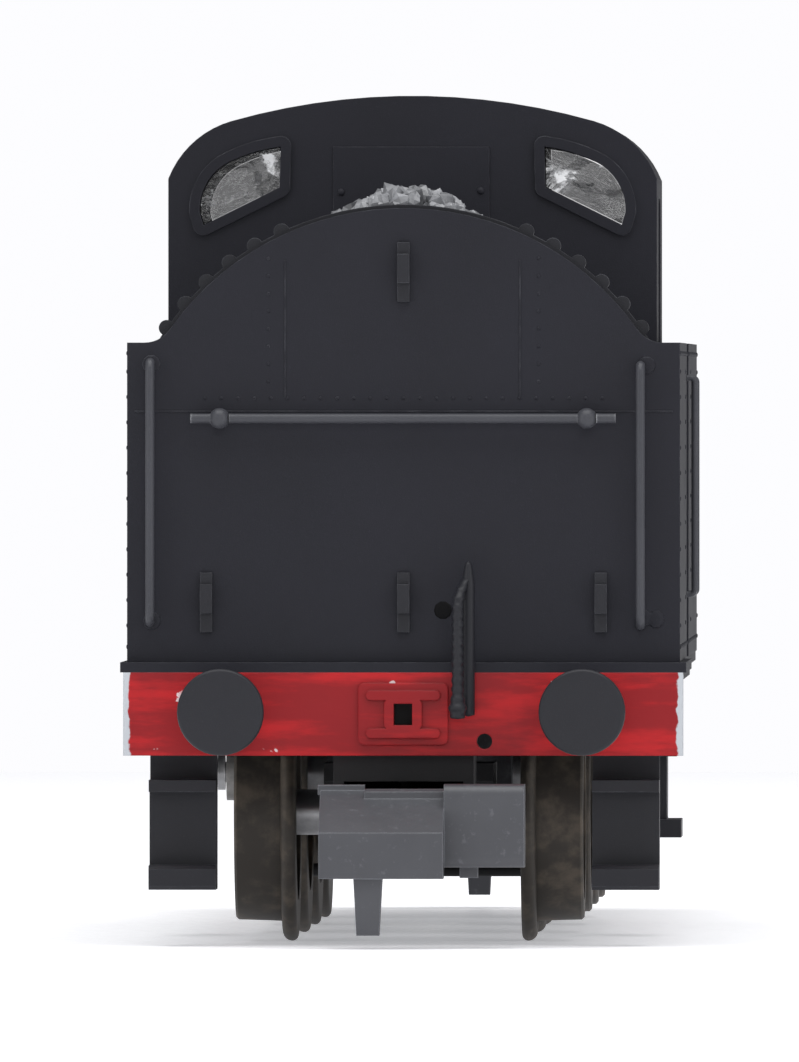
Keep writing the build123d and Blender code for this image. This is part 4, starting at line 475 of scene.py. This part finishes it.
coal_count = 900
coal_x = random.uniform(coal_low[0] + 0.5 * MM, coal_high[0] - 0.5 * MM, coal_count)
coal_y = random.uniform(coal_low[1] + 0.5 * MM, coal_high[1] - 0.5 * MM, coal_count)
coal_size = random.uniform(0.26, 0.50, coal_count) * MM
coal_z = heap_height(coal_x, coal_y) + random.uniform(-0.3, 0.05, coal_count) * MM
coal_z = np.minimum(coal_z, coal_high[2] - 1.2 * coal_size)
dome_clear = 9.0 * MM
dome_centre = 14.8 * MM
reach = np.hypot(coal_x, coal_z - dome_centre)
under_dome = (reach < dome_clear) | (np.abs(coal_x) < 2.6 * MM)
centres = np.stack([coal_x, coal_y, coal_z], axis=-1)[under_dome]
coal = stones("coal_lumps", centres, coal_size[under_dome])
heap_x = np.linspace(coal_low[0] + 0.1 * MM, coal_high[0] - 0.1 * MM, 60)
heap_y = np.linspace(coal_low[1] + 0.1 * MM, coal_high[1] - 0.1 * MM, 40)
heap_xx, heap_yy = np.meshgrid(heap_x, heap_y, indexing="ij")
heap_zz = heap_height(heap_xx, heap_yy) - 0.45 * MM
heap_points = np.stack([heap_xx, heap_yy, heap_zz], axis=-1)
heap_bed = grid_mesh("coal_bed", heap_points)
thickness = heap_bed.modifiers.new("thickness", "SOLIDIFY")
thickness.thickness = 0.6 * MM
thickness.offset = -1
coal_paint = Paint("coal_glossy_grey", Specular_IOR_Level=0.6)
coal_tone = coal_paint.noise(700.0, detail=3.0)
coal_grain = coal_paint.noise(9000.0, detail=4.0)
coal_dark = (0.055, 0.057, 0.064, 1)
coal_light = (0.24, 0.245, 0.26, 1)
coal_paint.into("Base Color", coal_paint.blend(coal_tone.above(0.3, 0.4), coal_dark, coal_light))
coal_paint.into("Roughness", 0.25 + coal_grain * 0.35)
coal_paint.into("Normal", coal_paint.bump(coal_grain, 0.5, 0.02 * MM))
coal_paint.on(coal, heap_bed)
for piece in (coal, heap_bed):
    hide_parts("coal_load")
    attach(piece, BODY)

# ---------------------------------------------------------------- cab glazing
# Clear styrene panes pressed in from inside, thin and slightly rippled. The studio's reflection is
# painted in as bright broken streaks, over a near-black tint that is painted shade of the dark cab.
glass_paint = Paint("clear_glazing", Roughness=0.06, Specular_IOR_Level=1.0, Alpha=0.45)
glass_paint.material.surface_render_method = "DITHERED"
ripple_place = glass_paint.stretched((420.0, 420.0, 760.0))
ripple_form = {"Vector": ripple_place, "Scale": 1.0, "Detail": 4.0, "Roughness": 0.65, "Distortion": 1.2}
ripple = glass_paint.node("ShaderNodeTexNoise", {}, ripple_form)
scuffs_and_reflection_breakup = glass_paint.noise(1700.0, detail=5.0, roughness=0.7)
# Painted reflection: where this mask is high the pane is pale and more opaque; elsewhere its near-black
# colour is painted shade.
painted_reflection_mask = ripple.above(0.53, 0.07) * scuffs_and_reflection_breakup.above(0.36, 0.2)
glass_paint.into("Base Color", glass_paint.blend(painted_reflection_mask, (0.03, 0.031, 0.034, 1), (0.78, 0.79, 0.81, 1)))
glass_paint.into("Alpha", 0.42 + 0.5 * painted_reflection_mask)
glass_paint.into("Roughness", 0.05 + scuffs_and_reflection_breakup * 0.12)
glass_paint.into("Normal", glass_paint.bump(ripple, 0.6, 0.12 * MM))
glass_paint.on("cab_glazing")

# ---------------------------------------------------------------- wheels and axles
# Turned tyres, chemically dulled to brown and blotched with tarnish, with paler crests where the
# rail rubs them. The spoked centres are black mouldings, and the axles are steel rod.
def turned_metal(name, dark, bright, roughness, grain=2600.0, metallic=0.85):
    """Metal with fine turning marks, blotches of tarnish and brighter rubbed edges."""
    paint = Paint(name)
    tarnish = paint.noise(900.0, detail=5.0, roughness=0.6)
    lathe_place = paint.stretched((9000.0, grain, grain))
    marks = paint.node("ShaderNodeTexNoise", {}, {"Vector": lathe_place, "Scale": 1.0, "Detail": 2.0})
    rubbed = paint.edges(0.09 * MM)
    worn = tarnish.above(0.42, 0.3) * 0.5 + rubbed * 0.5
    paint.into("Base Color", paint.blend(worn, dark, bright))
    paint.into("Metallic", metallic - tarnish * 0.3)
    paint.into("Roughness", roughness + tarnish * 0.2)
    paint.into("Normal", paint.bump(marks, 0.35, 0.01 * MM))
    return paint


tyre_dark = (0.040, 0.035, 0.030, 1)
tyre_bright = (0.15, 0.120, 0.090, 1)
tyre_paint = turned_metal("tyre_dull_brown", tyre_dark, tyre_bright, 0.46, metallic=0.7)
tyre_paint.on("front_tyres", "middle_tyres", "rear_tyres", "trailing_tyres")
moulding_paint = matt_black("chassis_moulding", (0.010, 0.010, 0.011, 1), (0.07, 0.07, 0.075, 1), 0.5, 0.5)
moulding_paint.on(
    "front_wheel_centres", "middle_wheel_centres", "rear_wheel_centres", "trailing_wheel_centres",
    "truck_frame", "keeper_plate", "brake_gear", "coupler_pockets", "motor_end_bell",
)
steel_paint = turned_metal("bright_steel", (0.32, 0.32, 0.33, 1), (0.62, 0.62, 0.63, 1), 0.24, metallic=1.0)
steel_paint.on(
    "front_axle", "middle_axle", "rear_axle", "trailing_axle", "front_crankpins", "middle_crankpins",
    "rear_crankpins", "truck_pivot_screw", "frame_screws", "motor_shaft", "idler_pin", "coupler_springs",
)
rod_dark = (0.20, 0.195, 0.19, 1)
rod_bright = (0.52, 0.50, 0.48, 1)
rod_paint = turned_metal("etched_rod_steel", rod_dark, rod_bright, 0.34, metallic=0.95)
rod_paint.on("left_coupling_rod", "right_coupling_rod")

# ---------------------------------------------------------------- chassis, motor and gears
# Blackened zinc casting with a sandy skin; plated motor can; turned brass flywheel and worm;
# off-white acetal gears; green laminate board; springy bronze pickups.
casting_dark = (0.022, 0.022, 0.025, 1)
casting_bright = (0.13, 0.13, 0.14, 1)
casting_paint = turned_metal("blackened_casting", casting_dark, casting_bright, 0.48, metallic=0.5)
casting_grain = casting_paint.noise(7000.0, detail=4.0)
casting_paint.into("Normal", casting_paint.bump(casting_grain, 0.6, 0.025 * MM))
casting_paint.on("chassis_block")
motor_dark = (0.38, 0.38, 0.40, 1)
motor_bright = (0.66, 0.66, 0.68, 1)
motor_paint = turned_metal("plated_motor_can", motor_dark, motor_bright, 0.22, metallic=1.0)
motor_paint.on("motor_can")
brass_paint = turned_metal("turned_brass", (0.42, 0.27, 0.09, 1), (0.78, 0.58, 0.26, 1), 0.24, metallic=1.0)
brass_paint.on("flywheel", "worm", "whistle", "safety_valves")
gear_paint = matt_black("acetal_gears", (0.52, 0.49, 0.40, 1), (0.78, 0.76, 0.70, 1), 0.4, 0.5)
gear_paint.on("worm_wheel", "axle_gear")
board_paint_green = matt_black("green_laminate", (0.010, 0.10, 0.035, 1), (0.06, 0.30, 0.13, 1), 0.35, 0.6)
board_paint_green.on("circuit_board")
bronze_dark = (0.36, 0.17, 0.07, 1)
bronze_bright = (0.70, 0.42, 0.22, 1)
bronze_paint = turned_metal("phosphor_bronze", bronze_dark, bronze_bright, 0.28, metallic=1.0)
bronze_paint.on("pickup_strips")

# ---------------------------------------------------------------- couplers
# Dark grey acetal hooks, a little shiny, with a painted sheen of pale grey on the edges where hooks
# have slid over the slope, faint mould marks and a scuffed face.
coupler_paint = Paint("coupler_grey_plastic", Specular_IOR_Level=0.5)
coupler_cloud = coupler_paint.noise(500.0, detail=4.0)
coupler_scuff = coupler_paint.noise(3800.0, detail=5.0, roughness=0.65)
coupler_edge_sheen = coupler_paint.edges(0.07 * MM)
coupler_tone = coupler_paint.blend(coupler_cloud, (0.026, 0.027, 0.033, 1), (0.048, 0.050, 0.058, 1))
coupler_scuffed = (0.10, 0.103, 0.115, 1)
coupler_tone = coupler_paint.blend(coupler_scuff.above(0.58, 0.14) * 0.45, coupler_tone, coupler_scuffed)
# Pale grey along the edges is a painted sheen.
coupler_paint.into("Base Color", coupler_paint.blend(coupler_edge_sheen * 0.6, coupler_tone, (0.26, 0.27, 0.30, 1)))
coupler_paint.into("Roughness", 0.36 + coupler_scuff * 0.22)
coupler_round = coupler_paint.node("ShaderNodeBevel", {"samples": 4}, {"Radius": 0.08 * MM})
coupler_paint.into("Normal", coupler_paint.bump(coupler_scuff, 0.3, 0.02 * MM, coupler_round))
coupler_paint.on("rear_coupler", "front_coupler")

# ---------------------------------------------------------------- handrails
# Drawn wire, sprayed dark, with the paint rubbed thin on the outside of the wire and a painted
# highlight along its edges. The rails are bent at their ends or held by small turned knobs.
wire_dark = (0.035, 0.036, 0.042, 1)
# Paler grey for the wire's edges: worn paint and a painted highlight.
wire_rubbed_and_highlight = (0.24, 0.245, 0.26, 1)
rail_paint = matt_black("handrail_wire", wire_dark, wire_rubbed_and_highlight, 0.34, 0.9, 0.12 * MM)
rail_paint.on("rear_handrail", "vertical_handrails", "boiler_handrails")

# ---------------------------------------------------------------- vacuum pipes
# Cast standpipes with their hoses, one at each beam: a slim pipe with a tapered top, and a ribbed
# hose that leaves it near the top and hangs in front of it, swollen at its lower end.
pipe_low, pipe_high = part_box("vacuum_pipes")


def swept_rings(name, path, radii, sides=20):
    """Open tube: a circle of the given radius at each point of an upright path."""
    turn = np.linspace(0, 2 * pi, sides, endpoint=False)
    circle = np.stack([np.cos(turn), np.sin(turn), np.zeros(sides)], axis=-1)
    rings_here = path[:, None, :] + radii[:, None, None] * circle[None]
    return grid_mesh(name, rings_here, close_v=True)


stand_offset = 2.14 * MM
hose_offset = 1.80 * MM
stand_depth = 0.95 * MM
hose_depth = 0.34 * MM
end_radius = 0.001 * MM
taper_length = 0.7 * MM
rib_pitch = 0.30 * MM
lean_length = 1.0 * MM
hose_top = pipe_high[2] - 0.55 * MM
for end, face_y in ((-1, pipe_low[1]), (1, pipe_high[1])):
    stand_x = -end * stand_offset
    hose_x = -end * hose_offset
    stand_y = face_y - end * stand_depth
    hose_y = face_y - end * hose_depth
    upright_z = np.linspace(pipe_low[2] + 0.1 * MM, pipe_high[2] - 0.02 * MM, 90)
    hose_z = np.linspace(pipe_low[2] + 0.02 * MM, hose_top, 150)
    stand = np.stack([np.full_like(upright_z, stand_x), np.full_like(upright_z, stand_y), upright_z], axis=-1)
    taper = np.clip((pipe_high[2] - upright_z) / taper_length, 0, 1)
    stand_radius = (0.07 + 0.14 * taper**0.7) * MM
    stand_radius[0] = stand_radius[-1] = end_radius
    hose = np.stack([np.full_like(hose_z, hose_x), np.full_like(hose_z, hose_y), hose_z], axis=-1)
    ribs = 0.018 * MM * np.sin((hose_z - hose_z[0]) / rib_pitch * 2 * pi)
    swell = np.exp(-(((hose_z - hose_z[0] - 0.35 * MM) / (0.28 * MM)) ** 2))
    hose_radius = 0.19 * MM + ribs + 0.10 * MM * swell
    lean = np.clip((hose_z - (hose_top - lean_length)) / lean_length, 0, 1) ** 2
    hose[:, 0] += (stand_x - hose_x) * 0.9 * lean
    hose[:, 1] += (stand_y - hose_y) * lean
    hose_radius *= 1 - 0.35 * lean
    hose_radius[0] = hose_radius[-1] = end_radius
    which = "rear" if end < 0 else "front"
    for piece in (
        swept_rings(f"{which}_standpipe", stand, stand_radius),
        swept_rings(f"{which}_hose", hose, hose_radius),
    ):
        fittings_paint.on(piece)
        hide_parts("vacuum_pipes")
        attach(piece, BODY)

# ---------------------------------------------------------------- seams and the cab's rear panel
# A square-cornered panel stands between the windows behind the coal, held by two bolts, and thin
# raised seams run down the bunker sheet beside the rivets and across its foot.
bunker_length = 14.0 * MM
cab_rear = sheet_y + bunker_length


def strip(name, centre, size, paint):
    """Thin raised strip: a box with its outer edges pulled in by a fifth of its thickness."""
    sx, sy, sz = (0.5 * np.array(size)).tolist()
    pull = 0.4 * sy
    corners = np.array([(-1, -1), (1, -1), (1, 1), (-1, 1)])
    outer = np.stack([corners[:, 0] * (sx - pull), np.full(4, -sy), corners[:, 1] * (sz - pull)], axis=-1)
    inner = np.stack([corners[:, 0] * sx, np.full(4, sy), corners[:, 1] * sz], axis=-1)
    points = np.concatenate([outer, inner]) + np.array(centre)
    faces = np.array([(0, 1, 2, 3), (7, 6, 5, 4), (1, 0, 4, 5), (2, 1, 5, 6), (3, 2, 6, 7), (0, 3, 7, 4)])
    made = mesh_piece(name, points, faces, smooth=False)
    paint.on(made)
    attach(made, BODY)
    return made


seam_y = sheet_y - 0.012 * MM
upright_seam = (0.06 * MM, 0.03 * MM, 4.5 * MM)
foot_seam = (17.6 * MM, 0.03 * MM, 0.06 * MM)
for side, seam_x in (("left", -3.87 * MM), ("right", 3.81 * MM)):
    strip(f"{side}_sheet_seam", (seam_x, seam_y, 20.2 * MM), upright_seam, body_paint)
strip("sheet_foot_seam", (0, seam_y, 17.50 * MM), foot_seam, body_paint)

panel_thickness = 0.06 * MM
panel_y = cab_rear - 0.5 * panel_thickness
panel_middle_x = -0.04 * MM
panel_size = (5.2 * MM, panel_thickness, 4.7 * MM)
strip("cab_rear_panel", (panel_middle_x, panel_y, 23.92 * MM), panel_size, body_paint)
panel_bolts = np.array([(-2.37, 0, 24.75), (2.26, 0, 24.80)]) * MM
panel_bolts[:, 1] = cab_rear - panel_thickness
rivet_rows("cab_panel_bolts", panel_bolts, (1, -1), 0.13 * MM, 0.08 * MM)

# ---------------------------------------------------------------- handrail seats
# Each upright rail ends in a seat, where glue has risen round the bent wire, with a blob beside
# the right one's foot. An empty, dark seat is left beside the vacuum pipe.
left_seats = [(-8.25, 0, 19.05), (-8.22, 0, 10.65)]
right_seats = [(7.95, 0, 19.0), (7.85, 0, 10.75), (8.25, 0, 10.70)]
rail_seats = np.array(left_seats + right_seats) * MM
rail_seats[:, 1] = sheet_y
rivet_rows("rail_seats", rail_seats, (1, -1), 0.30 * MM, 0.06 * MM)
empty_seat = np.array([(1.29 * MM, sheet_y, 11.0 * MM)])
dark_paint = matt_black("drilled_hole_shadow", (0.0015, 0.0015, 0.002, 1), (0.02, 0.02, 0.022, 1), 0.9, 0.1)
seat = rivet_rows("empty_seat", empty_seat, (1, -1), 0.30 * MM, 0.02 * MM)
dark_paint.on(seat)
